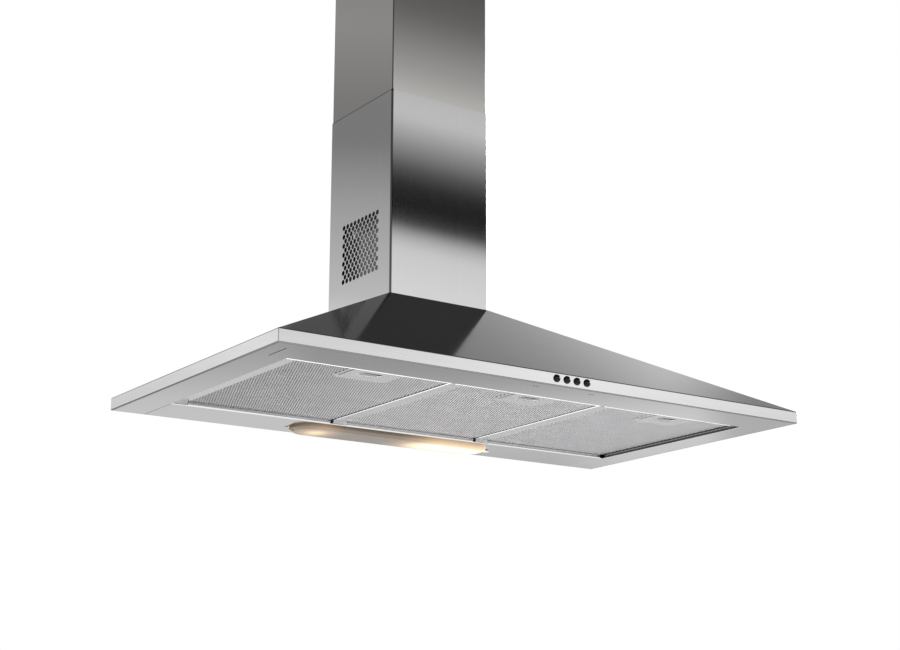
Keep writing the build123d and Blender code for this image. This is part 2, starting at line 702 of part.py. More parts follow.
with BuildPart() as blower_housing:
    with BuildSketch(Plane.YZ.offset(-blower_half_width)):
        with BuildLine():
            scroll_outline(0.0)
        make_face()
    extrude(amount=2 * blower_half_width - blower_sheet - 0.2)
    with BuildSketch(Plane.YZ.offset(-blower_half_width + blower_sheet)):
        with BuildLine():
            scroll_outline(blower_sheet)
        make_face()
    extrude(amount=2 * blower_half_width, mode=Mode.SUBTRACT)
    with BuildSketch(Plane.YZ.offset(-blower_half_width - cut)):
        with Locations((shaft_y, shaft_z)):
            Circle(inlet_radius)
    extrude(amount=cut + blower_sheet + 0.1, mode=Mode.SUBTRACT)
    with BuildSketch(Plane.YZ.offset(-blower_half_width)):  # rolled inlet mouth
        with Locations((shaft_y, shaft_z)):
            Circle(inlet_radius + blower_sheet)
            Circle(inlet_radius, mode=Mode.SUBTRACT)
    extrude(amount=8.0)
save(blower_housing, "blower_housing")

plate_x = blower_half_width - blower_sheet
with BuildPart() as blower_side_plate:
    with BuildSketch(Plane.YZ.offset(plate_x)):
        with BuildLine():
            scroll_outline(0.0)
        make_face()
        with Locations((shaft_y, shaft_z)):
            Circle(inlet_radius, mode=Mode.SUBTRACT)
    extrude(amount=blower_sheet)
    with BuildSketch(Plane.YZ.offset(plate_x)):
        with Locations((shaft_y, shaft_z)):
            Circle(inlet_radius + blower_sheet)
            Circle(inlet_radius, mode=Mode.SUBTRACT)
    extrude(amount=-7.0)
save(blower_side_plate, "blower_side_plate")

# Impeller: forward-curved blades between two end rings, carried by a centre disc
with BuildSketch() as blade:
    with BuildLine():
        tip_radius = impeller_radius - 0.5
        mid_radius = (tip_radius + impeller_inner_radius) / 2
        sweep = (impeller_radius - impeller_inner_radius) * blade_sweep
        Polyline(
            (impeller_inner_radius, 0), (mid_radius, -0.1 * sweep), (tip_radius, sweep),
            (tip_radius - 0.7 * blade_sheet, sweep + blade_sheet),
            (mid_radius - 0.4, -0.1 * sweep + blade_sheet), (impeller_inner_radius, blade_sheet),
            close=True,
        )
    make_face()

with BuildPart() as impeller:
    with BuildSketch(Plane.YZ.offset(-impeller_width / 2)):
        with Locations((shaft_y, shaft_z)):
            with PolarLocations(0, blade_count):
                add(blade.sketch_local)
    extrude(amount=impeller_width)
    for ring_x in (-impeller_width / 2, impeller_width / 2 - impeller_ring):
        with BuildSketch(Plane.YZ.offset(ring_x)):
            with Locations((shaft_y, shaft_z)):
                Circle(impeller_radius)
                Circle(impeller_inner_radius - 1.0, mode=Mode.SUBTRACT)
        extrude(amount=impeller_ring)
    with BuildSketch(Plane.YZ.offset(-impeller_ring / 2)):
        with Locations((shaft_y, shaft_z)):
            Circle(impeller_radius)
    extrude(amount=impeller_ring)
    with BuildSketch(Plane.YZ.offset(-hub_length / 2)):
        with Locations((shaft_y, shaft_z)):
            Circle(hub_radius)
    extrude(amount=hub_length)
    with BuildSketch(Plane.YZ.offset(-hub_length)):
        with Locations((shaft_y, shaft_z)):
            Circle(shaft_radius)
    extrude(amount=2 * hub_length, mode=Mode.SUBTRACT)
save(impeller, "impeller")

# Motor outside the right inlet, its shaft through to the hub, on a three-armed spider
motor_x = blower_half_width + motor_gap
shaft_depth = 22.0
with BuildPart() as motor_shaft:
    with BuildSketch(Plane.YZ.offset(-hub_length / 2 - 3)):
        with Locations((shaft_y, shaft_z)):
            Circle(shaft_radius)
    extrude(amount=motor_x + shaft_depth + hub_length / 2 + 3)
save(motor_shaft, "motor_shaft")

with BuildPart() as motor:
    with BuildSketch(Plane.YZ.offset(motor_x)):
        with Locations((shaft_y, shaft_z)):
            Circle(motor_radius)
    extrude(amount=motor_length)
    chamfer(motor.faces().sort_by(Axis.X)[-1].edges(), length=8.0)
    with BuildSketch(Plane.YZ.offset(motor_x - cut)):
        with Locations((shaft_y, shaft_z)):
            Circle(shaft_radius + pin_clearance)
    extrude(amount=cut + shaft_depth + 1.0, mode=Mode.SUBTRACT)
save(motor, "motor")

spider_radius = inlet_radius + 8.0
with BuildPart() as motor_bracket:
    with BuildSketch(Plane.YZ.offset(motor_x - bracket_sheet - 0.1)):
        with Locations((shaft_y, shaft_z)):
            Circle(motor_radius - 7.0)
            Circle(shaft_radius + 5.0, mode=Mode.SUBTRACT)
        for angle in (90, 210, 330):
            with Locations(Location((shaft_y, shaft_z, 0), (0, 0, angle))):
                with Locations((spider_radius / 2 + 10, 0)):
                    Rectangle(spider_radius - 20, motor_arm_width)
    extrude(amount=bracket_sheet)
    foot_x = blower_half_width + 0.1
    for angle in (90, 210, 330):
        with BuildSketch(Plane.YZ.offset(foot_x)):
            with Locations(Location((shaft_y, shaft_z, 0), (0, 0, angle))):
                with Locations((spider_radius - bracket_sheet / 2, 0)):
                    Rectangle(bracket_sheet, motor_arm_width)
        extrude(amount=motor_x - bracket_sheet - 0.1 - foot_x)
save(motor_bracket, "motor_bracket")

# Cradle: carries the blower from the rear panel on two arms below its inlets
arm_x = blower_half_width + 0.2
with BuildPart() as blower_cradle:
    with BuildSketch(Plane.XY.offset(cradle_z)):
        outer = arm_x + bracket_sheet
        area((-outer, outer), (-rear_gap - cradle_arm_length, -rear_gap))
        area_cut((-arm_x, arm_x), (-rear_gap - cradle_arm_length - cut, -rear_gap - bracket_sheet))
    extrude(amount=cradle_arm_height)
    extrude(screw_spots(cradle_points), amount=cut + hood_depth, mode=Mode.SUBTRACT)
save(blower_cradle, "blower_cradle")

# Outlet collar with two hinged non-return flaps
with BuildPart() as outlet_collar:
    with BuildSketch(Plane.XY.offset(outlet_z + 0.1)):
        area((-blower_half_width, blower_half_width),
             (shaft_y - outlet_half_depth, shaft_y + outlet_half_depth))
        with Locations((0, shaft_y)):
            Circle(duct_radius - duct_wall, mode=Mode.SUBTRACT)
    extrude(amount=blower_sheet)
    with BuildSketch(Plane.XY.offset(outlet_z + 0.1)):
        with Locations((0, shaft_y)):
            Circle(duct_radius)
            Circle(duct_radius - duct_wall, mode=Mode.SUBTRACT)
    extrude(amount=blower_sheet + duct_height)
    with BuildSketch(Plane.YZ.offset(-duct_radius - cut)):
        with Locations((shaft_y - flap_offset, flap_z), (shaft_y + flap_offset, flap_z)):
            Circle(flap_rod_radius + pin_clearance)
    extrude(amount=2 * (duct_radius + cut), mode=Mode.SUBTRACT)
save(outlet_collar, "outlet_collar")

rod_half = duct_radius - 0.5
for side, name in ((-1, "front"), (1, "rear")):
    with BuildPart() as flap:
        with BuildSketch(Plane.XY.offset(flap_z - flap_sheet / 2)):
            with Locations((0, shaft_y)):
                Circle(duct_radius - duct_wall - flap_gap)
                with Locations((0, -side * duct_radius + side * 0.3)):
                    Rectangle(2 * duct_radius, 2 * duct_radius, mode=Mode.SUBTRACT)
        extrude(amount=flap_sheet)
        with BuildSketch(Plane.YZ.offset(-rod_half)):
            with Locations((shaft_y + side * flap_offset, flap_z)):
                Circle(flap_rod_radius)
        extrude(amount=2 * rod_half)
    save(flap, f"flap_{name}")

# Lower chimney cover: folded channel that stands on the canopy, with the air vent
with BuildPart() as lower_cover:
    with BuildSketch(Plane.XY.offset(canopy_top + 0.1)):
        area(half(chimney_width), (-chimney_depth, -cover_wall_gap))
        area_cut(half(chimney_width - 2 * cover_sheet),
                 (-chimney_depth + cover_sheet, -cover_wall_gap - cover_sheet))
        area_cut(half(chimney_width - 2 * cover_flange), (-chimney_depth / 2, cut))
    extrude(amount=lower_cover_height)
    fillet(lower_cover.edges().filter_by(Axis.Z).group_by(Axis.Y)[0], radius=0.7)
    with BuildSketch(Plane.YZ.offset(-chimney_width)):
        with Locations((-vent_back, vent_z)):
            with GridLocations(vent_pitch_y, vent_pitch_z, vent_columns, vent_rows):
                RegularPolygon(vent_hole_radius, 4)
            with GridLocations(vent_pitch_y, vent_pitch_z, vent_columns - 1, vent_rows - 1):
                RegularPolygon(vent_hole_radius, 4)
    extrude(amount=chimney_width, mode=Mode.SUBTRACT)
save(lower_cover, "lower_cover")

# Upper chimney cover: slides inside the lower one to reach the ceiling
with BuildPart() as upper_cover:
    with BuildSketch(Plane.XY.offset(upper_cover_foot)):
        area(half(upper_width), (upper_front_y, upper_rear_y))
        area_cut(half(upper_width - 2 * cover_sheet),
                 (upper_front_y + cover_sheet, upper_rear_y - cover_sheet))
        area_cut(half(upper_width - 2 * cover_flange), (-chimney_depth / 2, cut))
    extrude(amount=upper_cover_length)
    fillet(upper_cover.edges().filter_by(Axis.Z).group_by(Axis.Y)[0], radius=0.7)
    notch_z = upper_cover_top - bracket_drop - bracket_height - 4
    with BuildSketch(Plane.XY.offset(notch_z)):  # the flanges stop short of the wall bracket
        area(half(upper_width - 2 * cover_sheet), (upper_rear_y - cover_sheet - 0.1, cut))
    extrude(amount=upper_cover_top - notch_z + cut, mode=Mode.SUBTRACT)
    with BuildSketch(Plane.YZ.offset(-chimney_width)):
        with Locations((-bracket_ear / 2, upper_cover_top - bracket_drop - bracket_height / 2)):
            Circle(screw_radius + 0.2)
    extrude(amount=2 * chimney_width, mode=Mode.SUBTRACT)
save(upper_cover, "upper_cover")

# Wall bracket that the top of the upper cover is screwed to
ear_half = upper_width / 2 - cover_sheet - fit
with BuildPart() as chimney_bracket:
    bracket_z = upper_cover_top - bracket_drop - bracket_height
    with BuildSketch(Plane.XY.offset(bracket_z)):
        area((-ear_half, ear_half), (-bracket_ear, 0))
        area_cut((-ear_half + bracket_sheet, ear_half - bracket_sheet),
                 (-bracket_ear - cut, -bracket_sheet))
    extrude(amount=bracket_height)
    with BuildSketch(Plane.XZ.offset(-cut)):
        with Locations((0, bracket_z + bracket_height / 2)):
            with GridLocations(bracket_hole_spacing, 0, 2, 1):
                Circle(bracket_hole_radius)
    extrude(amount=2 * cut + bracket_sheet, mode=Mode.SUBTRACT)
    with BuildSketch(Plane.YZ.offset(-chimney_width)):
        with Locations((-bracket_ear / 2, bracket_z + bracket_height / 2)):
            Circle(screw_radius)
    extrude(amount=2 * chimney_width, mode=Mode.SUBTRACT)
save(chimney_bracket, "chimney_bracket")

# Screws at the two sides of the upper cover
with BuildPart() as cover_screws:
    screw_z = bracket_z + bracket_height / 2
    for side in (-1, 1):
        with BuildSketch(Plane.YZ.offset(side * (upper_width / 2 + 0.1))):
            with Locations((-bracket_ear / 2, screw_z)):
                RegularPolygon(screw_head_radius, 6)
        extrude(amount=side * screw_head_height)
        with BuildSketch(Plane.YZ.offset(side * (upper_width / 2 + 0.1))):
            with Locations((-bracket_ear / 2, screw_z)):
                RegularPolygon(screw_radius - pin_clearance, 6)
        extrude(amount=-side * 8.0)
save(cover_screws, "cover_screws")


def front_screws(points, seat_y, length, name):
    """Screws driven along +Y at (x, z) points, their heads in front of a seat plane."""
    with BuildPart() as screws:
        with BuildSketch(Plane.XZ.offset(-seat_y + 0.1)):
            with Locations(*points):
                RegularPolygon(screw_head_radius, 6)
        extrude(amount=screw_head_height)
        with BuildSketch(Plane.XZ.offset(-seat_y + 0.1)):
            with Locations(*points):
                RegularPolygon(screw_radius, 6)
        extrude(amount=-length)
    save(screws, name)


front_screws(cradle_points, -rear_gap - bracket_sheet, rear_gap + bracket_sheet - 0.1, "cradle_screws")

# Terminal box on the rear panel, its lid, the supply cord's gland and the motor's capacitor
box_x = (chimney_width / 2 + box_offset, chimney_width / 2 + box_offset + box_width)
box_z = rim_z + 52.0
lid_points = [(box_x[0] + 6.0, box_z + 6.0), (box_x[1] - 6.0, box_z + box_height - 6.0)]
with BuildPart() as terminal_box:
    with BuildSketch(Plane.XY.offset(box_z)):
        area(box_x, (-rear_gap - box_depth, -rear_gap))
    extrude(amount=box_height)
    with BuildSketch(Plane.XY.offset(box_z + box_wall)):
        area((box_x[0] + box_wall, box_x[1] - box_wall),
             (-rear_gap - box_depth - cut, -rear_gap - box_wall))
    extrude(amount=box_height - 2 * box_wall, mode=Mode.SUBTRACT)
    with BuildSketch(Plane.XZ.offset(rear_gap + box_depth)):  # screw posts in two corners
        with Locations(*lid_points):
            Rectangle(8.2, 8.2)
            Circle(screw_radius + pin_clearance, mode=Mode.SUBTRACT)
    extrude(amount=-(box_depth - box_wall))
    gland_x = box_x[0] + 20.0
    with BuildSketch(Plane.XY.offset(box_z + box_height - 2 * box_wall)):
        with Locations((gland_x, -rear_gap - box_depth / 2)):
            Circle(gland_bore_radius + 3.0)
    extrude(amount=3 * box_wall, mode=Mode.SUBTRACT)
save(terminal_box, "terminal_box")

with BuildPart() as terminal_lid:
    with BuildSketch(Plane.XY.offset(box_z)):
        lid_y = -rear_gap - box_depth - 0.1
        area(box_x, (lid_y - box_wall, lid_y))
    extrude(amount=box_height)
    chamfer(terminal_lid.faces().sort_by(Axis.Y)[0].edges(), length=1.0)
    extrude(screw_spots(lid_points), amount=cut + hood_depth, mode=Mode.SUBTRACT)
save(terminal_lid, "terminal_lid")
front_screws(lid_points, lid_y - box_wall, box_wall + 6.0, "terminal_lid_screws")

with BuildPart() as cable_gland:
    with BuildSketch(Plane.XY.offset(box_z + box_height + 0.1)):
        with Locations((gland_x, -rear_gap - box_depth / 2)):
            RegularPolygon(gland_radius, 6)
            Circle(gland_bore_radius, mode=Mode.SUBTRACT)
    extrude(amount=9.0)
    with BuildSketch(Plane.XY.offset(box_z + box_height - box_wall - 5.0)):
        with Locations((gland_x, -rear_gap - box_depth / 2)):
            Circle(gland_bore_radius + 2.8)
            Circle(gland_bore_radius, mode=Mode.SUBTRACT)
    extrude(amount=box_wall + 8.0)
save(cable_gland, "cable_gland")

with BuildPart() as capacitor:
    with BuildSketch(Plane.XY.offset(rim_z + capacitor_z_offset)):
        with Locations((box_x[1] + capacitor_radius + 8, -rear_gap - capacitor_radius)):
            Circle(capacitor_radius)
    extrude(amount=capacitor_length)
    chamfer(capacitor.faces().sort_by(Axis.Z)[-1].edges(), length=1.5)
save(capacitor, "capacitor")

print("height", upper_cover_top - rim_z + lens_drop, "filter", filter_width, filter_rear_y - filter_front_y)
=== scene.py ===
import bpy
import numpy as np
from math import cos, pi, radians, sin
from mathutils import Matrix, Vector


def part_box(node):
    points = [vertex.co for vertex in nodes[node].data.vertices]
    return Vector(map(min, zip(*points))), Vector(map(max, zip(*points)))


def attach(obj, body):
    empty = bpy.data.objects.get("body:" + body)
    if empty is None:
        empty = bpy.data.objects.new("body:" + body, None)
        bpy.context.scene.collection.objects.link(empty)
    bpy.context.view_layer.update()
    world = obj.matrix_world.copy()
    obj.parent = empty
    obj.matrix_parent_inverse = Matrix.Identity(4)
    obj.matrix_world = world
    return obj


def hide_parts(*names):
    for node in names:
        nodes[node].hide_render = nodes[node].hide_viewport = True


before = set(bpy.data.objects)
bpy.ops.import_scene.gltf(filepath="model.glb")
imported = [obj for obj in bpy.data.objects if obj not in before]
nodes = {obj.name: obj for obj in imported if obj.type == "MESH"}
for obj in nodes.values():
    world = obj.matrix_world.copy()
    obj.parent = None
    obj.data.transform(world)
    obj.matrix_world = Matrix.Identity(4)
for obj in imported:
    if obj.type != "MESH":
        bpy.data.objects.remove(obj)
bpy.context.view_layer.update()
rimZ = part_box("canopy_shell")[0].z
print("frame loaded:", len(nodes), "nodes")


class Wire:
    # one output of a node tree: arithmetic on it adds Math nodes, node() adds any other node

    def __init__(self, tree, socket=None):
        self.tree = tree
        self.socket = socket

    def node(self, kind, settings=None, sockets=None, out=0):
        made = self.tree.nodes.new("ShaderNode" + kind)
        for key, value in (settings or {}).items():
            if key == "stops":
                ramp = made.color_ramp
                for place, colour in value[1:-1]:
                    ramp.elements.new(place).color = colour
                ramp.elements[0].position, ramp.elements[0].color = value[0]
                ramp.elements[-1].position, ramp.elements[-1].color = value[-1]
            else:
                setattr(made, key, value)
        for key, value in (sockets or {}).items():
            socket = made.inputs[key]
            if isinstance(value, Wire):
                self.tree.links.new(value.socket, socket)
            else:
                socket.default_value = value
        return Wire(self.tree, made.outputs[out])

    def maths(self, operation, *values, clamp=False):
        return self.node("Math", {"operation": operation, "use_clamp": clamp}, dict(enumerate(values)))

    def __add__(self, other):
        return self.maths("ADD", self, other)

    __radd__ = __add__

    def __sub__(self, other):
        return self.maths("SUBTRACT", self, other)

    def __rsub__(self, other):
        return self.maths("SUBTRACT", other, self)

    def __mul__(self, other):
        return self.maths("MULTIPLY", self, other)

    __rmul__ = __mul__

    def __truediv__(self, other):
        return self.maths("DIVIDE", self, other)

    def __rtruediv__(self, other):
        return self.maths("DIVIDE", other, self)

    def __pow__(self, other):
        return self.maths("POWER", self, other)

    def __abs__(self):
        return self.maths("ABSOLUTE", self)

    def clip(self):
        return self.maths("ADD", self, 0.0, clamp=True)

    def above(self, level, soft):
        # 0 below level - soft, 1 above level + soft, straight in between
        return ((self - (level - soft)) / (2 * soft)).clip()

    def between(self, low, high, soft):
        return self.above(low, soft) * (1 - self.above(high, soft))

    def mixColour(self, first, second):
        # self is the share of the second colour
        return self.node("Mix", {"data_type": "RGBA"}, {0: self, 6: first, 7: second}, out=2)

    def ramp(self, *stops):
        return self.node("ValToRGB", {"stops": stops}, {0: self})

    def scaled(self, colour):
        # the colour times self, which is a number
        return self.node("VectorMath", {"operation": "SCALE"}, {0: colour, 3: self})

    def parts(self):
        node = self.node("SeparateXYZ", sockets={0: self}).socket.node
        return [Wire(self.tree, node.outputs[k]) for k in range(3)]


def grey(value):
    return (value, value, value, 1.0)


def toned(value, span, stops):
    # brightness of a value from 0 to span; each stop is (value, brightness)
    return (value / span).ramp(*[(place / span, grey(brightness)) for place, brightness in stops])


def newMaterial(name, **constants):
    # a material with one Principled shader; the constants are set on its own sockets
    material = bpy.data.materials.new(name)
    material.use_nodes = True
    tree = material.node_tree
    shader = tree.nodes["Principled BSDF"]
    for key, value in constants.items():
        shader.inputs[key.replace("_", " ")].default_value = value
    return material, Wire(tree), shader


def plug(wire, shader, name):
    wire.tree.links.new(wire.socket, shader.inputs[name])


def objectSpace(start):
    # the place on the object in metres, and its three parts
    place = start.node("TexCoord", out=3)
    return place, place.parts()


def stretched(place, scale, detail):
    # noise on the place times scale, per metre along x, y and z
    spot = place.node("Mapping", sockets={0: place, 3: scale})
    return spot.node("TexNoise", sockets={"Vector": spot, "Scale": 1.0, "Detail": detail, "Roughness": 0.6})


def bump(height, strength, distance):
    return height.node("Bump", sockets={"Height": height, "Strength": strength, "Distance": distance})


# Stainless steel, brushed along one direction of the object
steel = {"base": 0.65, "tint": (1.0, 1.0, 1.0), "lineWidth": 0.0005, "lineLength": 0.06,
         "broadWidth": 0.006, "broadLength": 0.5, "relief": 0.000004, "uneven": 0.05, "side": (0.38, 0.04)}


def grainScale(axis, width, length):
    scale = [1 / width] * 3
    scale[axis] = 1 / length
    return scale


def brushed(name, choose, darker, roughness, shade, base=steel["base"], tint=steel["tint"], relief=1.0,
            uneven=steel["uneven"]):
    # colour = base * tint * (1 + shade * (lines - 0.5) + shade / 2 * (bands - 0.5)) * darker(parts);
    # choose(start) gives a list of (share, axis) that picks the direction of the brushing
    material, start, shader = newMaterial(name, Metallic=1.0)
    place, parts = objectSpace(start)
    lines, bands = 0.0, 0.0
    for share, axis in choose(start):
        fineScale = grainScale(axis, steel["lineWidth"], steel["lineLength"])
        broadScale = grainScale(axis, steel["broadWidth"], steel["broadLength"])
        lines = lines + share * stretched(place, fineScale, 3.0)
        bands = bands + share * stretched(place, broadScale, 2.0)
    tone = (1 + shade * (lines - 0.5) + 0.5 * shade * (bands - 0.5)) * darker(parts)
    plug(tone.scaled([base * t for t in tint]), shader, "Base Color")
    plug(roughness + uneven * (0.5 * bands + lines - 0.75), shader, "Roughness")
    plug(bump(lines, 0.5 * relief, steel["relief"]), shader, "Normal")
    return material


def upright(start):
    return [(1.0, 2)]


def alongX(start):
    return [(1.0, 0)]


def acrossFront(start):
    # brushing runs along x on the front faces and along y on the side faces
    normal = start.node("NewGeometry", out=1)
    side = abs(normal.parts()[0]).above(*steel["side"])
    return [(1 - side, 0), (side, 1)]


# heights over the rim's lower edge, and the share of its tone that each fold loses to painted shade
rimFold = {"lower": 0.0013, "upper": (0.0171, 0.0198), "soft": 0.0004, "lowerLoss": 0.62,
           "upperLoss": 0.55}


def rimPaintedShade(parts):
    # painted shade: the folded edges of the rim are painted darker, the lower one for the shadow in the
    # gap over the strips and the one under the slopes for the dark reflection in its bend
    z, soft = parts[2], rimFold["soft"]
    bottom, top = [rimZ + level for level in rimFold["upper"]]
    lower = 1 - z.above(rimZ + rimFold["lower"], soft)
    return 1 - rimFold["lowerLoss"] * lower - rimFold["upperLoss"] * z.between(bottom, top, soft)


coverLine = {"fold": (-0.001, 0.0026), "seam": (-0.0010, 0.0020), "soft": 0.0004, "deep": 0.003,
             "foldEnd": 0.001, "seamEnd": 0.0005, "foldLoss": 0.75, "seamLoss": 0.50}


def coverPaintedShade(parts):
    # painted shade: a dark line is painted along the front left fold of a chimney cover, on its front face,
    # and one along the joint of the two covers on the left face, for the shade in the fold and the gap
    x, y, z = parts
    low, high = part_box("lower_cover")
    line = coverLine
    fold = x.between(low.x + line["fold"][0], low.x + line["fold"][1], line["soft"]) * (
        1 - y.above(low.y + line["deep"], line["foldEnd"]))
    seam = z.between(high.z + line["seam"][0], high.z + line["seam"][1], line["soft"]) * (
        1 - x.above(low.x + line["deep"], line["seamEnd"]))
    return 1 - (line["foldLoss"] * fold + line["seamLoss"] * seam).clip()


# the four small holes, each ringed with painted shade
fixing = {"x": (-0.0435, -0.0385, 0.0545, 0.0595), "fromFront": 0.0188, "radius": 0.0019,
          "soft": 0.0003, "loss": 0.9}
film = {"x": (0.3966, 0.3990), "softX": 0.0002, "up": (0.0005, 0.0040), "softZ": 0.0003, "loss": 0.8}


def filmAndHoleShade(parts):
    # the flange at the right of the filters keeps a strip of dark film at its foot, and the four small
    # holes are ringed with painted shade
    x, y, z = parts
    bottom, top = [rimZ + level for level in film["up"]]
    share = film["loss"] * x.between(*film["x"], film["softX"]) * z.between(bottom, top, film["softZ"])
    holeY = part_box("canopy_shell")[0].y + fixing["fromFront"]
    for holeX in fixing["x"]:
        far = ((x - holeX) ** 2 + (y - holeY) ** 2) ** 0.5
        share = share + fixing["loss"] * (1 - far.above(fixing["radius"], fixing["soft"]))
    return 1 - share.clip()


stainlessCanopy = brushed("canopySteel", acrossFront, rimPaintedShade, roughness=0.10, shade=0.20)
stainlessChimney = brushed("chimneySteel", upright, coverPaintedShade, roughness=0.042, shade=0.08,
                           relief=0.12, uneven=0.02)
stainlessUpper = brushed("upperChimneySteel", upright, coverPaintedShade, roughness=0.06, shade=0.06,
                         base=0.64, tint=(1.02, 1.0, 0.965), relief=0.12, uneven=0.02)
silverStrip = brushed("undersideSteel", alongX, filmAndHoleShade, roughness=0.09, shade=0.12, base=0.60,
                      relief=0.15, uneven=0.02)

# places in a filter's frame, measured from its left, front and lower sides, but right and rear from
# those sides. A lap is how far the mesh reaches under the frame or the latch's pan
window = {"left": 0.025, "right": 0.003, "front": 0.019, "rear": 0.009, "under": 0.0006,
          "lap": 0.0006, "panLeft": 0.105, "panRight": 0.189, "panDepth": 0.072, "panLap": (0.004, 0.006)}
# where the gaps between the filters and beside the latch's pan are painted in shade
gapShade = {"right": (-0.0034, 0.0005), "left": (-0.0005, 0.0009), "leftUp": 0.0022, "soft": 0.0003,
           "leftSoft": 0.0002, "panEdge": (0.1092, 0.1122), "panEdgeEnd": 0.060, "panSoft": 0.001,
           "loss": 0.92}


def frameGapShade(parts):
    # painted shade: the walls of the gaps between the filters are painted dark for the shade in the gaps,
    # all but the lowest rounding of each edge, and so is the left edge of the latch's pan, for the shade in
    # the slit there
    x, y, z = parts
    gap = gapShade
    share = 0.0
    for side in ("left", "middle", "right"):
        low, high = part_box(f"filter_{side}_frame")
        right = x.between(high.x + gap["right"][0], high.x + gap["right"][1], gap["soft"])
        left = x.between(low.x + gap["left"][0], low.x + gap["left"][1], gap["leftSoft"]) * z.above(
            low.z + gap["leftUp"], gap["soft"])
        pan = x.between(low.x + gap["panEdge"][0], low.x + gap["panEdge"][1], gap["soft"]) * y.between(
            low.y + window["front"], low.y + gap["panEdgeEnd"], gap["panSoft"])
        share = share + right + left + pan
    return 1 - gap["loss"] * share.clip()


plain = {"uneven": 0.15, "strength": 0.15, "relief": 0.0001}


def plainMetal(name, colour, roughness, mottle=0.12, size=0.004, metallic=1.0, darker=None):
    # colour * (1 + mottle * (spots - 0.5)) * darker(parts), the spots from noise of the given size
    material, start, shader = newMaterial(name, Metallic=metallic)
    place, parts = objectSpace(start)
    spots = stretched(place, [1 / size] * 3, 3.0)
    tone = 1 + mottle * (spots - 0.5)
    if darker:
        tone = tone * darker(parts)
    plug(tone.scaled(colour), shader, "Base Color")
    plug(roughness + plain["uneven"] * (spots - 0.5), shader, "Roughness")
    plug(bump(spots, plain["strength"], plain["relief"]), shader, "Normal")
    return material


galvanised = plainMetal("galvanisedSheet", (0.55, 0.57, 0.58), 0.42, 0.25, 0.008)
filterMetal = plainMetal("filterFrameMetal", (0.86, 0.86, 0.87), 0.24, 0.05, 0.003, darker=frameGapShade)
latchMetal = plainMetal("latchMetal", (0.84, 0.84, 0.85), 0.38, 0.05, 0.003, 0.5)
hemMetal = plainMetal("hemMetal", (0.92, 0.92, 0.93), 0.22, 0.05, 0.003)
springMetal = plainMetal("springMetal", (0.5, 0.5, 0.5), 0.3)
zinc = plainMetal("zincScrews", (0.7, 0.7, 0.68), 0.3)
groundSteel = plainMetal("groundSteel", (0.75, 0.75, 0.75), 0.2)
canMetal = plainMetal("capacitorCan", (0.76, 0.76, 0.77), 0.3)
motorPaint = plainMetal("motorLacquer", (0.07, 0.075, 0.08), 0.45, 0.2, 0.003, 0.0)
fanPlastic = plainMetal("fanPlastic", (0.12, 0.125, 0.13), 0.5, 0.15, 0.003, 0.0)
blackPlastic = plainMetal("blackPlastic", (0.02, 0.02, 0.021), 0.42, 0.2, 0.002, 0.0)
linerPaint = plainMetal("linerPaint", (0.24, 0.24, 0.245), 0.35, 0.3, 0.006, 0.6)
boxPlastic = plainMetal("boxPlastic", (0.35, 0.36, 0.37), 0.48, 0.1, 0.002, 0.0)
ceramic = plainMetal("lampCeramic", (0.82, 0.81, 0.77), 0.4, 0.05, 0.003, 0.0)
buttonGloss, _, _ = newMaterial(
    "buttonGloss", Base_Color=(0.004, 0.004, 0.0045, 1), Roughness=0.12, Specular_IOR_Level=0.3)
bulbGlass, _, _ = newMaterial("bulbGlass", Base_Color=(1, 0.9, 0.7, 1), Roughness=0.2,
                              Emission_Color=(1.0, 0.75, 0.42, 1), Emission_Strength=3.0)

expanded = {"short": 0.00395, "long": 0.0096, "openShort": 0.58, "openLong": 0.58, "tilt": 0.00018}
pad = {"phase": (0.9, 0.7), "hole": (0.45, 0.20), "strand": (0.58, 0.58, 0.59, 1),
       "depth": (0.26, 0.26, 0.265, 1), "roughness": (0.42, 0.25), "strength": 0.8, "relief": 0.0008}


def padMetal():
    # the next layers of expanded mesh, seen through the first: |sin(u + v)| and |sin(u - v)| with
    # u = pi x / short and v = pi y / long; a zero of either is a strand
    material, start, shader = newMaterial("filterPad", Metallic=0.8)
    place, parts = objectSpace(start)
    u = parts[0] * (pi / expanded["short"]) + pad["phase"][0]
    v = parts[1] * (pi / expanded["long"]) + pad["phase"][1]
    first, second = [abs(wave.maths("SINE", wave)) for wave in (u + v, u - v)]
    nearest = first.maths("MINIMUM", first, second)
    # painted shade: the holes between the strands take a dark tone, for the shade deeper in the pad
    hole = nearest.above(*pad["hole"])
    plug(hole.mixColour(pad["strand"], pad["depth"]), shader, "Base Color")
    plug(pad["roughness"][0] + pad["roughness"][1] * hole, shader, "Roughness")
    plug(bump(1 - nearest, pad["strength"], pad["relief"]), shader, "Normal")
    return material


filterPad = padMetal()


def meshPaintedShade(parts):
    # painted shade: the mesh is painted darker towards the hood's left end, where less light falls on it:
    # 0.6 at x = -0.40 m, 1 from about -0.09 m on
    return 0.60 + 0.40 * ((parts[0] + 0.40) * 3.2).clip()


filterMesh = plainMetal("filterMesh", (0.98, 0.965, 0.985), 0.32, 0.16, 0.03, darker=meshPaintedShade)

# the tones rise with the glow, from the shell far from a bulb to the shell over it
lamp = {
    "right": 0.118, "left": -0.136, "y": -0.047, "deep": 0.034, "rightWide": 0.088, "leftWide": 0.030,
    "leftShare": 0.60,
    "tones": ((0.0, (0.01, 0.007, 0.004, 1)), (0.22, (0.07, 0.045, 0.025, 1)), (0.42, (0.32, 0.20, 0.11, 1)),
              (0.62, (0.80, 0.58, 0.34, 1)), (0.85, (1.0, 0.90, 0.70, 1))),
}


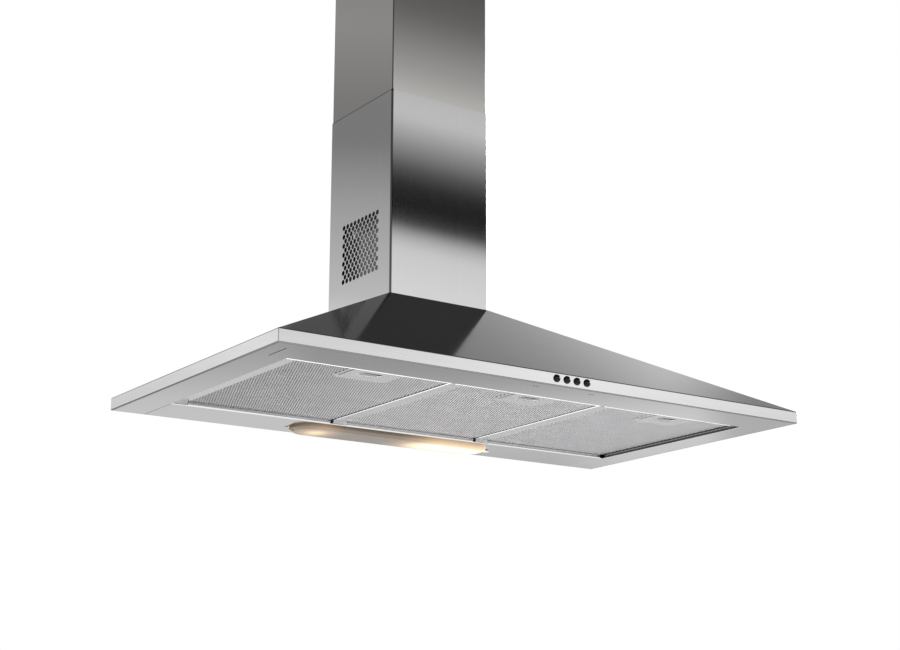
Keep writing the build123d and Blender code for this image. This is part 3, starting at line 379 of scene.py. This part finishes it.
def lensGlow():
    # painted light: a warm glow painted round each bulb on a milky shell, for the bulbs' light shining
    # through it: 1 / (1 + (dx / wide)^n + (dy / deep)^2), where n is 4 at the right bulb and 2 at the left
    # one, whose glow is painted weaker
    material, start, shader = newMaterial("lensPaintedGlow", Base_Color=(0.14, 0.12, 0.095, 1), Roughness=0.18,
                                          Metallic=0.0, Emission_Strength=1.0)
    place, parts = objectSpace(start)
    x, y, z = parts
    across = (y - lamp["y"]) / lamp["deep"]
    right = 1 / (1 + abs((x - lamp["right"]) / lamp["rightWide"]) ** 4 + across * across)
    left = 1 / (1 + ((x - lamp["left"]) / lamp["leftWide"]) ** 2 + across * across)
    glow = right + lamp["leftShare"] * left
    plug(glow.ramp(*lamp["tones"]), shader, "Emission Color")
    return material


lensPaintedGlow = lensGlow()

finish = {
    "canopy_shell": stainlessCanopy, "lower_cover": stainlessChimney, "upper_cover": stainlessUpper,
    "bottom_frame": silverStrip, "light_panel": silverStrip, "lens_cover": lensPaintedGlow,
    "switch_block": blackPlastic, "impeller": fanPlastic, "motor": motorPaint,
    "motor_shaft": groundSteel, "outlet_collar": blackPlastic, "flap_front": boxPlastic,
    "flap_rear": boxPlastic, "terminal_box": boxPlastic, "terminal_lid": boxPlastic,
    "cable_gland": blackPlastic, "capacitor": canMetal,
}
kinds = [("_core", filterPad), ("_latch", latchMetal), ("_spring", springMetal), ("_screws", zinc),
         ("filter", filterMetal), ("button", buttonGloss), ("lamp_bulb", bulbGlass), ("lamp_holder", ceramic)]
for name, node in nodes.items():
    # a node that isn't named above goes by the first kind whose word is in its name
    material = finish.get(name) or next((kind for word, kind in kinds if word in name), galvanised)
    node.data.materials.clear()
    node.data.materials.append(material)
print("finishes set")


# Pieces that stand for a CAD node or add to it


def meshObject(name, points, faces, material, smooth):
    # faces is a list of arrays, one for each number of corners
    mesh = bpy.data.meshes.new(name)
    mesh.from_pydata(points.tolist(), [], sum([part.tolist() for part in faces], []))
    mesh.materials.append(material)
    mesh.polygons.foreach_set("use_smooth", [smooth] * len(mesh.polygons))
    made = bpy.data.objects.new(name, mesh)
    bpy.context.scene.collection.objects.link(made)
    return made


def makePiece(name, points, faces, material, body, sharp=None, stands=()):
    # sharp is the angle in degrees past which an edge stays a crease; None keeps every face flat
    made = meshObject(name, points, faces, material, sharp is not None)
    if sharp is not None:
        made.data.set_sharp_from_angle(angle=radians(sharp))
    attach(made, body)
    if stands:
        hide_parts(*stands)
    return made


def bandQuads(count, bands=1):
    # the quads between closed rings of count points each, ring after ring
    j, k = np.meshgrid(np.arange(bands) * count, np.arange(count), indexing="ij")
    k2 = (k + 1) % count
    return np.stack([j + k, j + k2, j + count + k2, j + count + k], -1).reshape(-1, 4)


def thicken(piece, sheet):
    # the sheet grows inwards from the modelled outer face
    solid = piece.modifiers.new("sheet", "SOLIDIFY")
    solid.thickness = sheet
    solid.offset = -1.0
    solid.use_even_offset = True


def used(points, faces):
    # drops the points that no face uses
    kept, faces = np.unique(faces, return_inverse=True)
    return points[kept], faces.reshape(-1, 4)


def foldPath(corners, radius, steps):
    # a line through the corners with each inner corner rounded: corner + radius * (unit circle arc)
    corners = np.array(corners, float)
    points = [corners[0]]
    for before, corner, after in zip(corners, corners[1:], corners[2:]):
        back = (before - corner) / np.linalg.norm(before - corner)
        ahead = (after - corner) / np.linalg.norm(after - corner)
        t = np.linspace(0, pi / 2, steps + 1)[:, None]
        points.extend(corner + radius * (back * (1 - np.sin(t)) + ahead * (1 - np.cos(t))))
    return np.array(points + [corners[-1]])


coverShape = {"sheet": 0.0008, "bend": 0.0012, "flange": 0.012, "foldSteps": 6, "ventFromWall": 0.0954,
              "ventUp": 0.0934, "pitchY": 0.01114, "pitchZ": 0.01504, "hole": 0.0042, "columns": 10,
              "rows": 7}
# the 16 grid points round a cell, in steps from its middle
cellEdge = np.array([(2, 0), (2, 1), (2, 2), (1, 2), (0, 2), (-1, 2), (-2, 2), (-2, 1), (-2, 0), (-2, -1),
                     (-2, -2), (-1, -2), (0, -2), (1, -2), (2, -2), (2, -1)])


def ventCells(cols, rows):
    # the middles of the cells, in steps: rows of cols holes, and between them rows of one hole less
    even = [(4 * c + 2, 4 * r + 2) for r in range(0, 2 * rows - 1, 2) for c in range(cols)]
    odd = [(4 * c + 4, 4 * r + 2) for r in range(1, 2 * rows - 1, 2) for c in range(cols - 1)]
    return np.array(even + odd)


def lowerCover():
    # a flat sheet in (s, z) with the vent's round holes in honeycomb cells of 4 x 4 steps, then
    # folded: (x, y) = path(s), where s runs round the chimney from the left rear flange to the
    # right one. The first points of the path, lead in number, end where the left wall starts
    shape = coverShape
    low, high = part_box("lower_cover")
    half, front, back = high.x, low.y, high.y
    path = foldPath([(-half + shape["flange"], back), (-half, back), (-half, front), (half, front),
                     (half, back), (half - shape["flange"], back)], shape["bend"], shape["foldSteps"])
    lead = shape["foldSteps"] + 2
    steps = np.linalg.norm(np.diff(path, axis=0), axis=1)
    along = np.concatenate([[0], np.cumsum(steps)])
    ventS = along[lead - 1] + (back - shape["bend"] + shape["ventFromWall"])
    ventZ = low.z + shape["ventUp"]
    cols, rows = shape["columns"], shape["rows"]
    lineS = ventS + (np.arange(4 * cols + 1) - 2 * cols) * shape["pitchY"] / 4
    lineZ = ventZ + (np.arange(8 * rows - 3) - (4 * rows - 2)) * shape["pitchZ"] / 8
    allS = np.concatenate([along[:lead], lineS, along[lead:]])
    allZ = np.concatenate([[low.z], lineZ, [high.z]])
    countS, countZ = len(allS), len(allZ)
    grid = np.stack(np.meshgrid(allS, allZ, indexing="ij"), -1)
    # a row's edge rises over each hole's middle and falls between two holes
    even, third = np.arange(0, 4 * cols + 1, 2), shape["pitchZ"] / 12
    for boundary in range(2 * rows):
        rise = np.where((even % 4 == 2) == (boundary % 2 == 1), third, -third)
        grid[lead + even, 1 + 4 * boundary, 1] += rise
    grid = grid.reshape(-1, 2)
    i, j = np.meshgrid(np.arange(countS - 1), np.arange(countZ - 1), indexing="ij")
    column, row = i - lead, (j - 1) // 4
    inside = (column >= 0) & (column < 4 * cols) & (j >= 1) & (j < countZ - 2)
    halfCell = inside & (row % 2 == 1) & ((column < 2) | (column >= 4 * cols - 2))
    i, j = i[~inside | halfCell], j[~inside | halfCell]
    first = i * countZ + j
    quads = np.stack([first, first + countZ, first + countZ + 1, first + 1], -1)
    centres = ventCells(cols, rows)
    spots = centres[:, None, :] + cellEdge
    outer = (spots[..., 0] + lead) * countZ + spots[..., 1] + 1
    angle = np.arange(len(cellEdge)) * 2 * pi / len(cellEdge)
    ring = np.stack([lineS[centres[:, 0]][:, None] + shape["hole"] * np.cos(angle),
                     lineZ[centres[:, 1]][:, None] + shape["hole"] * np.sin(angle)], -1)
    inner = len(grid) + np.arange(outer.size).reshape(outer.shape)
    ringQuads = np.stack([outer, np.roll(outer, -1, 1), np.roll(inner, -1, 1), inner], -1).reshape(-1, 4)
    flat, faces = used(np.concatenate([grid, ring.reshape(-1, 2)]), np.concatenate([quads, ringQuads]))
    folded = np.stack([np.interp(flat[:, 0], along, path[:, 0]), np.interp(flat[:, 0], along, path[:, 1]),
                       flat[:, 1]], -1)
    piece = makePiece("lowerCover", folded, [faces], stainlessChimney, "hood",
                      stands=["lower_cover"])
    thicken(piece, shape["sheet"])


lowerCover()

# places of the black sheet that stands for shade in the vent, and of the grey liner further in
ventSheets = {"inset": 0.0084, "fromWall": (0.0036, 0.0600), "reach": 0.1560, "down": 0.052,
             "top": (0.0365, 0.060), "liner": (-0.060, 0.030), "linerInset": 0.016}


def ventShadeSheet():
    # painted shade: an L of black sheet inside the vent, along its rear columns and its top row, stands
    # for the shade behind those holes: x is constant
    low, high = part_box("lower_cover")
    x = low.x + ventSheets["inset"]
    rear, mid = ventSheets["fromWall"]
    z = low.z + coverShape["ventUp"]
    y = [-rear, -mid, -ventSheets["reach"]]
    levels = [z - ventSheets["down"], z + ventSheets["top"][0], z + ventSheets["top"][1]]
    outline = [(0, 0), (1, 0), (1, 1), (2, 1), (2, 2), (1, 2), (0, 2), (0, 1)]
    points = np.array([(x, y[step], levels[level]) for step, level in outline])
    faces = np.array([(0, 1, 2, 7), (7, 2, 5, 6), (2, 3, 4, 5)])
    piece = makePiece("ventShadeSheet", points, [faces], blackPlastic, "hood")
    thicken(piece, coverShape["sheet"])


ventShadeSheet()


def ventLiner():
    # a grey sheet further in hides the open back of the chimney: x is constant
    low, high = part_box("lower_cover")
    x = low.x + ventSheets["linerInset"]
    z = low.z + coverShape["ventUp"]
    bottom, top = z + ventSheets["liner"][0], z + ventSheets["liner"][1]
    near, far = -ventSheets["fromWall"][0], -ventSheets["reach"]
    points = np.array([(x, near, bottom), (x, far, bottom), (x, far, top), (x, near, top)])
    piece = makePiece("ventLiner", points, [np.array([(0, 1, 2, 3)])], linerPaint, "hood")
    thicken(piece, coverShape["sheet"])


ventLiner()


domeShape = {"rise": 0.0021, "edge": 0.0008, "edgeRise": 0.0009, "steps": 8, "turns": 40}


def buttonDome(index):
    # a profile (r, y) turned about the button's axis: x = cx + r cos(a), z = cz + r sin(a)
    low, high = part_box(f"button_{index}")
    radius, rise, edge = (high.x - low.x) / 2, domeShape["rise"], domeShape["edge"]
    cx, cz = (low.x + high.x) / 2, (low.z + high.z) / 2
    t = np.linspace(0, pi / 2, domeShape["steps"] + 1)
    face = np.stack([(radius - edge) * np.sin(t), low.y + rise * (1 - np.cos(t))], -1)
    rimY = low.y + rise + domeShape["edgeRise"] * (1 - np.cos(t))
    rim = np.stack([radius - edge * (1 - np.sin(t)), rimY], -1)
    profile = np.concatenate([face[1:], rim[1:], [(radius, high.y)]])
    turns = domeShape["turns"]
    a = np.arange(turns) * 2 * pi / turns
    r, y = profile[:, 0][:, None], profile[:, 1][:, None]
    rings = np.stack([cx + r * np.cos(a), y + 0 * a, cz + r * np.sin(a)], -1).reshape(-1, 3)
    points = np.concatenate([rings, [(cx, low.y, cz), (cx, high.y, cz)]])
    k = np.arange(turns)
    k2 = (k + 1) % turns
    tip, tail, last = len(rings), len(rings) + 1, len(rings) - turns
    caps = np.concatenate([np.stack([tip + 0 * k, k2, k], -1),
                           np.stack([tail + 0 * k, last + k, last + k2], -1)])
    makePiece(f"buttonDome{index}", points, [bandQuads(turns, len(profile) - 1), caps], buttonGloss,
              f"button_{index}", sharp=40, stands=[f"button_{index}"])


for index in range(1, 5):
    buttonDome(index)


def filterLattice(side):
    # expanded mesh: diamonds on a staggered lattice, node (i, j) at (i short / 2, j long / 2); each
    # has four strands between its corners and the same corners drawn in, tilted by a small z step
    low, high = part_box(f"filter_{side}_frame")
    x0, x1 = low.x + window["left"], high.x - window["right"]
    y0, y1 = low.y + window["front"], high.y - window["rear"]
    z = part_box(f"filter_{side}_core")[0].z - window["under"]
    halfX, halfY = expanded["short"] / 2, expanded["long"] / 2
    across = int((x1 - x0) / halfX) + 2
    deep = int((y1 - y0) / halfY) + 2
    i, j = np.meshgrid(np.arange(across + 1), np.arange(deep + 1), indexing="ij")
    keep = (i + j) % 2 == 0
    i, j = i[keep], j[keep]
    px, py = x0 + i * halfX, y0 + j * halfY
    lapX, lapY = window["panLap"]
    inPan = (px > low.x + window["panLeft"] + lapX) & (px < low.x + window["panRight"] - lapX) & (
        py < low.y + window["panDepth"] - lapY)
    i, j = i[~inPan], j[~inPan]
    ways = np.array([(1, 0), (0, 1), (-1, 0), (0, -1)])
    corners = np.stack([i, j], -1)[:, None, :] + ways
    nodesAt, outer = np.unique(corners.reshape(-1, 2), axis=0, return_inverse=True)
    outer = outer.reshape(-1, 4)
    outerX, outerY = nodesAt.T
    outerPoints = np.stack([x0 + outerX * halfX, y0 + outerY * halfY, z + 0 * outerX], -1)
    drawn = ways * (halfX * expanded["openShort"], halfY * expanded["openLong"])
    innerPoints = np.stack([
        (x0 + i * halfX)[:, None] + drawn[:, 0], (y0 + j * halfY)[:, None] + drawn[:, 1],
        z - expanded["tilt"] * ways[:, 1] + 0 * i[:, None]], -1).reshape(-1, 3)
    inner = len(outerPoints) + np.arange(len(i) * 4).reshape(-1, 4)
    faces = np.stack([outer, inner, np.roll(inner, -1, 1), np.roll(outer, -1, 1)], -1).reshape(-1, 4)
    points = np.concatenate([outerPoints, innerPoints])
    points[:, 0] = np.clip(points[:, 0], x0 - window["lap"], x1 + window["lap"])
    points[:, 1] = np.clip(points[:, 1], y0 - window["lap"], y1 + window["lap"])
    makePiece(f"filterLattice_{side}", points, [faces], filterMesh, f"filter_{side}")


hem = {"radius": 0.0013, "underCore": 0.00125, "sides": 16, "start": 0.005}


def frontHem(side):
    # a bead along the front of the filter's window: a circle carried along x
    low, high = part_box(f"filter_{side}_frame")
    y = low.y + window["front"] - hem["radius"]
    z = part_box(f"filter_{side}_core")[0].z - hem["underCore"]
    angle = np.arange(hem["sides"]) * 2 * pi / hem["sides"]
    circle = np.stack([0 * angle, y + hem["radius"] * np.cos(angle), z + hem["radius"] * np.sin(angle)], -1)
    ends = (low.x + hem["start"], high.x - window["right"])
    points = np.concatenate([circle + (x, 0, 0) for x in ends])
    makePiece(f"filterHem_{side}", points, [bandQuads(hem["sides"])], hemMetal, f"filter_{side}",
              sharp=40)


slot = {"shadow": 0.0062, "halfLength": 0.009, "radius": 0.0085, "rise": 0.0014, "fromFront": 0.0375,
        "foot": 0.0002, "sheet": 0.0006, "turns": 40}


def slotLip(side):
    # the finger slot's turned-up edge, a slot outline (two half circles) carried up along z, and
    # over it a black wall that stands for the shade inside the slot
    low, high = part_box(f"filter_{side}_latch")
    cx = (low.x + high.x) / 2
    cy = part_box(f"filter_{side}_frame")[0].y + slot["fromFront"]
    angle = (np.arange(slot["turns"]) + 0.5) * 2 * pi / slot["turns"]
    x = cx + np.sign(np.cos(angle)) * slot["halfLength"] + slot["radius"] * np.cos(angle)
    y = cy + slot["radius"] * np.sin(angle)
    z = low.z + slot["foot"]
    walls = [("slotLip", (0.0, slot["rise"]), hemMetal),
             ("slotShade", (slot["rise"], slot["shadow"]), blackPlastic)]
    for name, levels, material in walls:
        points = np.concatenate([np.stack([x, y, z + level + 0 * x], -1) for level in levels])
        quads = bandQuads(slot["turns"])[:, [1, 0, 3, 2]]
        piece = makePiece(f"{name}_{side}", points, [quads], material, f"latch_{side}", sharp=40)
        thicken(piece, slot["sheet"])


tab = {"past": 0.0035, "up": 0.0050, "radii": (0.0080, 0.0045, 0.0020), "rings": 12, "sectors": 24}


def lensTab():
    # the snap tab at the right end of the lens cover: x, y, z = centre + radii * (unit sphere)
    low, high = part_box("lens_cover")
    centre = np.array((high.x + tab["past"], (low.y + high.y) / 2, low.z + tab["up"]))
    e = np.linspace(-pi / 2, pi / 2, tab["rings"] + 1)[:, None]
    b = np.arange(tab["sectors"])[None, :] * 2 * pi / tab["sectors"]
    sphere = np.stack([np.cos(e) * np.cos(b), np.cos(e) * np.sin(b), np.sin(e) + 0 * b], -1).reshape(-1, 3)
    quads = bandQuads(tab["sectors"], tab["rings"])
    makePiece("lensTab", centre + np.array(tab["radii"]) * sphere, [quads], ceramic, "lens", sharp=60)


for side in ("left", "middle", "right"):
    filterLattice(side)
    frontHem(side)
    slotLip(side)
lensTab()
print("pieces made")


# Camera: where the photograph was taken from, from a fit of the hood's corners
shot = {"place": (-1.3936, -2.2479, -0.5958), "yaw": 0.644, "pitch": 0.244, "roll": -0.008,
        "focal": 1662.8, "middle": (520.0, 345.0), "image": (900.0, 650.0), "sensor": 36.0}
forward = Vector((sin(shot["yaw"]) * cos(shot["pitch"]), cos(shot["yaw"]) * cos(shot["pitch"]),
                  sin(shot["pitch"])))
right = forward.cross(Vector((0, 0, 1))).normalized()
up = right.cross(forward)
tiltedRight = cos(shot["roll"]) * right + sin(shot["roll"]) * up
tiltedUp = -sin(shot["roll"]) * right + cos(shot["roll"]) * up
camera = bpy.data.objects.new("camera", bpy.data.cameras.new("camera"))
bpy.context.scene.collection.objects.link(camera)
turn = Matrix((tiltedRight, tiltedUp, -forward)).transposed().to_4x4()
camera.matrix_world = Matrix.Translation(shot["place"]) @ turn
camera.data.sensor_width = shot["sensor"]
camera.data.lens = shot["focal"] / shot["image"][0] * shot["sensor"]
camera.data.shift_x = -(shot["middle"][0] - shot["image"][0] / 2) / shot["image"][0]
camera.data.shift_y = (shot["middle"][1] - shot["image"][1] / 2) / shot["image"][0]
camera.data.clip_end = 100.0
bpy.context.scene.camera = camera


# Studio: white world, pale floor, a dome of graded tones seen only in reflections, three soft lamps
studio = {"diffuse": 0.70, "floorZ": -1.9, "surround": 60.0, "floorReach": 12.0}
world = bpy.data.worlds.new("studio")
bpy.context.scene.world = world
world.use_nodes = True
worldTree = world.node_tree
worldTree.nodes.clear()
sky = Wire(worldTree)
rays = sky.node("LightPath").socket.node
seen = [Wire(worldTree, rays.outputs[f"Is {kind} Ray"]) for kind in ("Camera", "Glossy", "Transmission")]
shown = (seen[0] + seen[1] + seen[2]).clip()
level = studio["diffuse"] + (1 - studio["diffuse"]) * shown
background = sky.node("Background", sockets={0: grey(1.0), 1: level})
worldOut = worldTree.nodes.new("ShaderNodeOutputWorld")
worldTree.links.new(background.socket, worldOut.inputs[0])


def addStage(name, points, faces, material, smooth=False):
    made = meshObject(name, points, [faces], material, smooth)
    return made


# tones by distance from the hood's foot in metres, for the directions left and right of the split.
# A pair is a level and its soft half width: of the bearing in degrees, or of the distance
floorTone = {
    "left": ((6.0, 0.40), (6.8, 0.47), (7.6, 0.62), (8.1, 0.72), (8.5, 0.84), (9.0, 0.72), (12, 0.70)),
    "right": ((6.0, 0.40), (7.5, 0.38), (7.8, 0.46), (8.2, 0.80), (8.6, 0.96), (9.0, 0.80), (9.5, 0.70),
              (10.1, 0.54), (12, 0.52)),
    "span": 12, "split": (28, 1), "corner": (41.0, 1.5), "cornerFar": (9.3, 0.2), "cornerGain": 0.32,
    "edge": (47.2, 0.8), "edgeLoss": 0.30, "under": (3.0, 0.48), "underTone": 1.4,
}


def floorMaterial():
    # pale and dull; in the steel's reflections it is brightest under the hood and has soft tones
    # beyond, by distance and compass direction
    material, start, shader = newMaterial("floorPaint", Base_Color=(0.82, 0.82, 0.82, 1), Roughness=0.8)
    place, parts = objectSpace(start)
    x, y, z = parts
    distance = (x * x + y * y) ** 0.5
    side = abs(x.maths("ARCTAN2", x, y)) * (180 / pi)
    left, right = [toned(distance, floorTone["span"], floorTone[end]) for end in ("left", "right")]
    tone = side.above(*floorTone["split"]).mixColour(left, right)
    corner = side.above(*floorTone["corner"]) * distance.above(*floorTone["cornerFar"])
    edge = side.above(*floorTone["edge"])
    tone = ((1 + floorTone["cornerGain"] * corner) * (1 - floorTone["edgeLoss"] * edge)).scaled(tone)
    under = 1 - distance.above(*floorTone["under"])
    mirrored = under.mixColour(tone, grey(floorTone["underTone"]))
    paths = start.node("LightPath", out=3)
    glow = start.node("Emission", sockets={0: mirrored, 1: 1.0})
    paint = Wire(start.tree, shader.outputs[0])
    mixed = paths.node("MixShader", sockets={0: paths, 1: paint, 2: glow})
    out = [node for node in start.tree.nodes if node.type == "OUTPUT_MATERIAL"][0]
    start.tree.links.new(mixed.socket, out.inputs[0])
    return material


reach = studio["floorReach"]
floorCorners = np.array([(-reach, -reach), (reach, -reach), (reach, reach), (-reach, reach)])
floorPoints = np.column_stack([floorCorners, np.full(4, studio["floorZ"])])
addStage("floor", floorPoints, np.array([(0, 1, 2, 3)]), floorMaterial())


# (elevation, brightness) for the front and for the two ends of the rear, and (degrees, brightness)
# for the low bands: of 180 less the bearing in front, and of 0 less the bearing at the left. A pair
# of numbers is a level and its soft half width, or the lamp's two ends. All angles are in degrees
skyTone = {
    "front": ((0, 1.0), (15.6, 1.0), (17.1, 0.9), (17.6, 0.60), (18.0, 0.05), (18.6, 0.012), (19.4, 0.03),
              (20.0, 0.12), (20.9, 0.42), (21.8, 0.78), (22.5, 0.74), (23.2, 0.52), (25.4, 0.18), (28, 0.08),
              (31, 0.05), (42, 0.045), (60, 0.12)),
    "rearLeft": ((0, 1.15), (14.0, 1.1), (15.8, 0.72), (18.9, 0.50), (21.2, 0.28), (22.6, 0.28), (25.3, 0.38),
                 (30, 0.26), (35, 0.145), (45, 0.08), (60, 0.15)),
    "rearRight": ((0, 1.05), (20, 1.0), (27, 0.75), (28.8, 0.73), (29.9, 0.70), (30.8, 0.52), (31.6, 0.38),
                  (33, 0.27), (40, 0.10), (60, 0.12)),
    "frontLow": ((0, 0.95), (27, 0.95), (31, 1.02), (38, 1.27), (43, 1.15), (47, 1.0), (60, 1.0)),
    "leftLow": ((0, 0.85), (23.7, 0.88), (25.5, 0.94), (28.2, 1.12), (60, 1.1)),
    "span": 60, "tilt": 0.22, "tiltFrom": 146, "frontLowTop": (13.7, 0.3), "leftLowTop": (14.5, 0.3),
    "rightEnd": (51.0, 1.6), "rightEndTone": 0.26, "toRight": (5, 25), "toFront": (95, 20),
    "lampBearing": (92, 112), "lampElevation": (12, 24), "lampSoft": 1.5, "lampTone": 20.0,
}


def surroundMaterial():
    # brightness by elevation and by compass direction: the elevation is asin(z), the bearing is
    # atan2(x, y), both of the unit vector from the hood's foot, in degrees
    material = bpy.data.materials.new("surround")
    material.use_nodes = True
    tree = material.node_tree
    tree.nodes.clear()
    start = Wire(tree)
    place = start.node("TexCoord", out=3)
    x, y, z = place.node("VectorMath", {"operation": "NORMALIZE"}, {0: place}).parts()
    elevation = z.maths("ARCSINE", z) * (180 / pi)
    bearing = x.maths("ARCTAN2", x, y) * (180 / pi)  # from +y towards +x
    span = skyTone["span"]
    # the front's bands are tilted, as the chimney's front face mirrors them
    tilted = elevation - skyTone["tilt"] * (bearing - skyTone["tiltFrom"])
    front = toned(tilted, span, skyTone["front"])
    frontLow = toned(180 - bearing, span, skyTone["frontLow"])
    front = (1 - elevation.above(*skyTone["frontLowTop"])).mixColour(front, frontLow)
    rearLeft = toned(elevation, span, skyTone["rearLeft"])
    leftLow = toned(0 - bearing, span, skyTone["leftLow"])
    rearLeft = (1 - elevation.above(*skyTone["leftLowTop"])).mixColour(rearLeft, leftLow)
    # the part that the right end of the canopy mirrors is dark again
    rearRight = toned(elevation, span, skyTone["rearRight"])
    rearRight = bearing.above(*skyTone["rightEnd"]).mixColour(rearRight, grey(skyTone["rightEndTone"]))
    rear = bearing.above(*skyTone["toRight"]).mixColour(rearLeft, rearRight)
    whole = abs(bearing).above(*skyTone["toFront"]).mixColour(rear, front)
    # a small bright lamp at the right, which glints on the buttons
    glint = bearing.between(*skyTone["lampBearing"], skyTone["lampSoft"]) * elevation.between(
        *skyTone["lampElevation"], skyTone["lampSoft"])
    whole = glint.mixColour(whole, grey(skyTone["lampTone"]))
    glow = start.node("Emission", sockets={0: whole, 1: 1.0})
    out = tree.nodes.new("ShaderNodeOutputMaterial")
    tree.links.new(glow.socket, out.inputs[0])
    return material


def dome(radius, rings=24, sectors=48):
    # x = r cos(e) sin(b), y = r cos(e) cos(b), z = r sin(e), for e from -4 to 90 degrees; the faces
    # look inwards
    e = np.linspace(radians(-4), radians(90), rings + 1)[:, None]
    b = np.linspace(0, 2 * pi, sectors, endpoint=False)[None, :]
    points = radius * np.stack([np.cos(e) * np.sin(b), np.cos(e) * np.cos(b), np.sin(e) + 0 * b], -1)
    return points.reshape(-1, 3), bandQuads(sectors, rings)[:, [0, 3, 2, 1]]


surround = addStage("surround", *dome(studio["surround"]), surroundMaterial(), smooth=True)
surround.visible_camera = False
surround.visible_diffuse = False
surround.visible_shadow = False
surround.visible_transmission = False
surround.visible_volume_scatter = False


def addLamp(name, place, target, size, power):
    light = bpy.data.lights.new(name, "AREA")
    light.shape = "RECTANGLE"
    light.size, light.size_y = size
    light.energy = power
    made = bpy.data.objects.new(name, light)
    bpy.context.scene.collection.objects.link(made)
    aim = (Vector(target) - Vector(place)).to_track_quat("-Z", "Y").to_matrix().to_4x4()
    made.matrix_world = Matrix.Translation(place) @ aim
    made.visible_glossy = False
    return made


addLamp("keyLamp", (-2.6, -2.6, 1.2), (0, -0.2, 0), (1.6, 1.6), 60)
addLamp("fillLamp", (2.8, -2.4, 0.4), (0, -0.2, 0), (1.8, 1.8), 35)
addLamp("lowLamp", (-0.4, -1.6, -1.7), (0, -0.25, -0.1), (2.2, 1.6), 30)
bpy.context.scene.view_settings.view_transform = "Standard"
print("studio set")
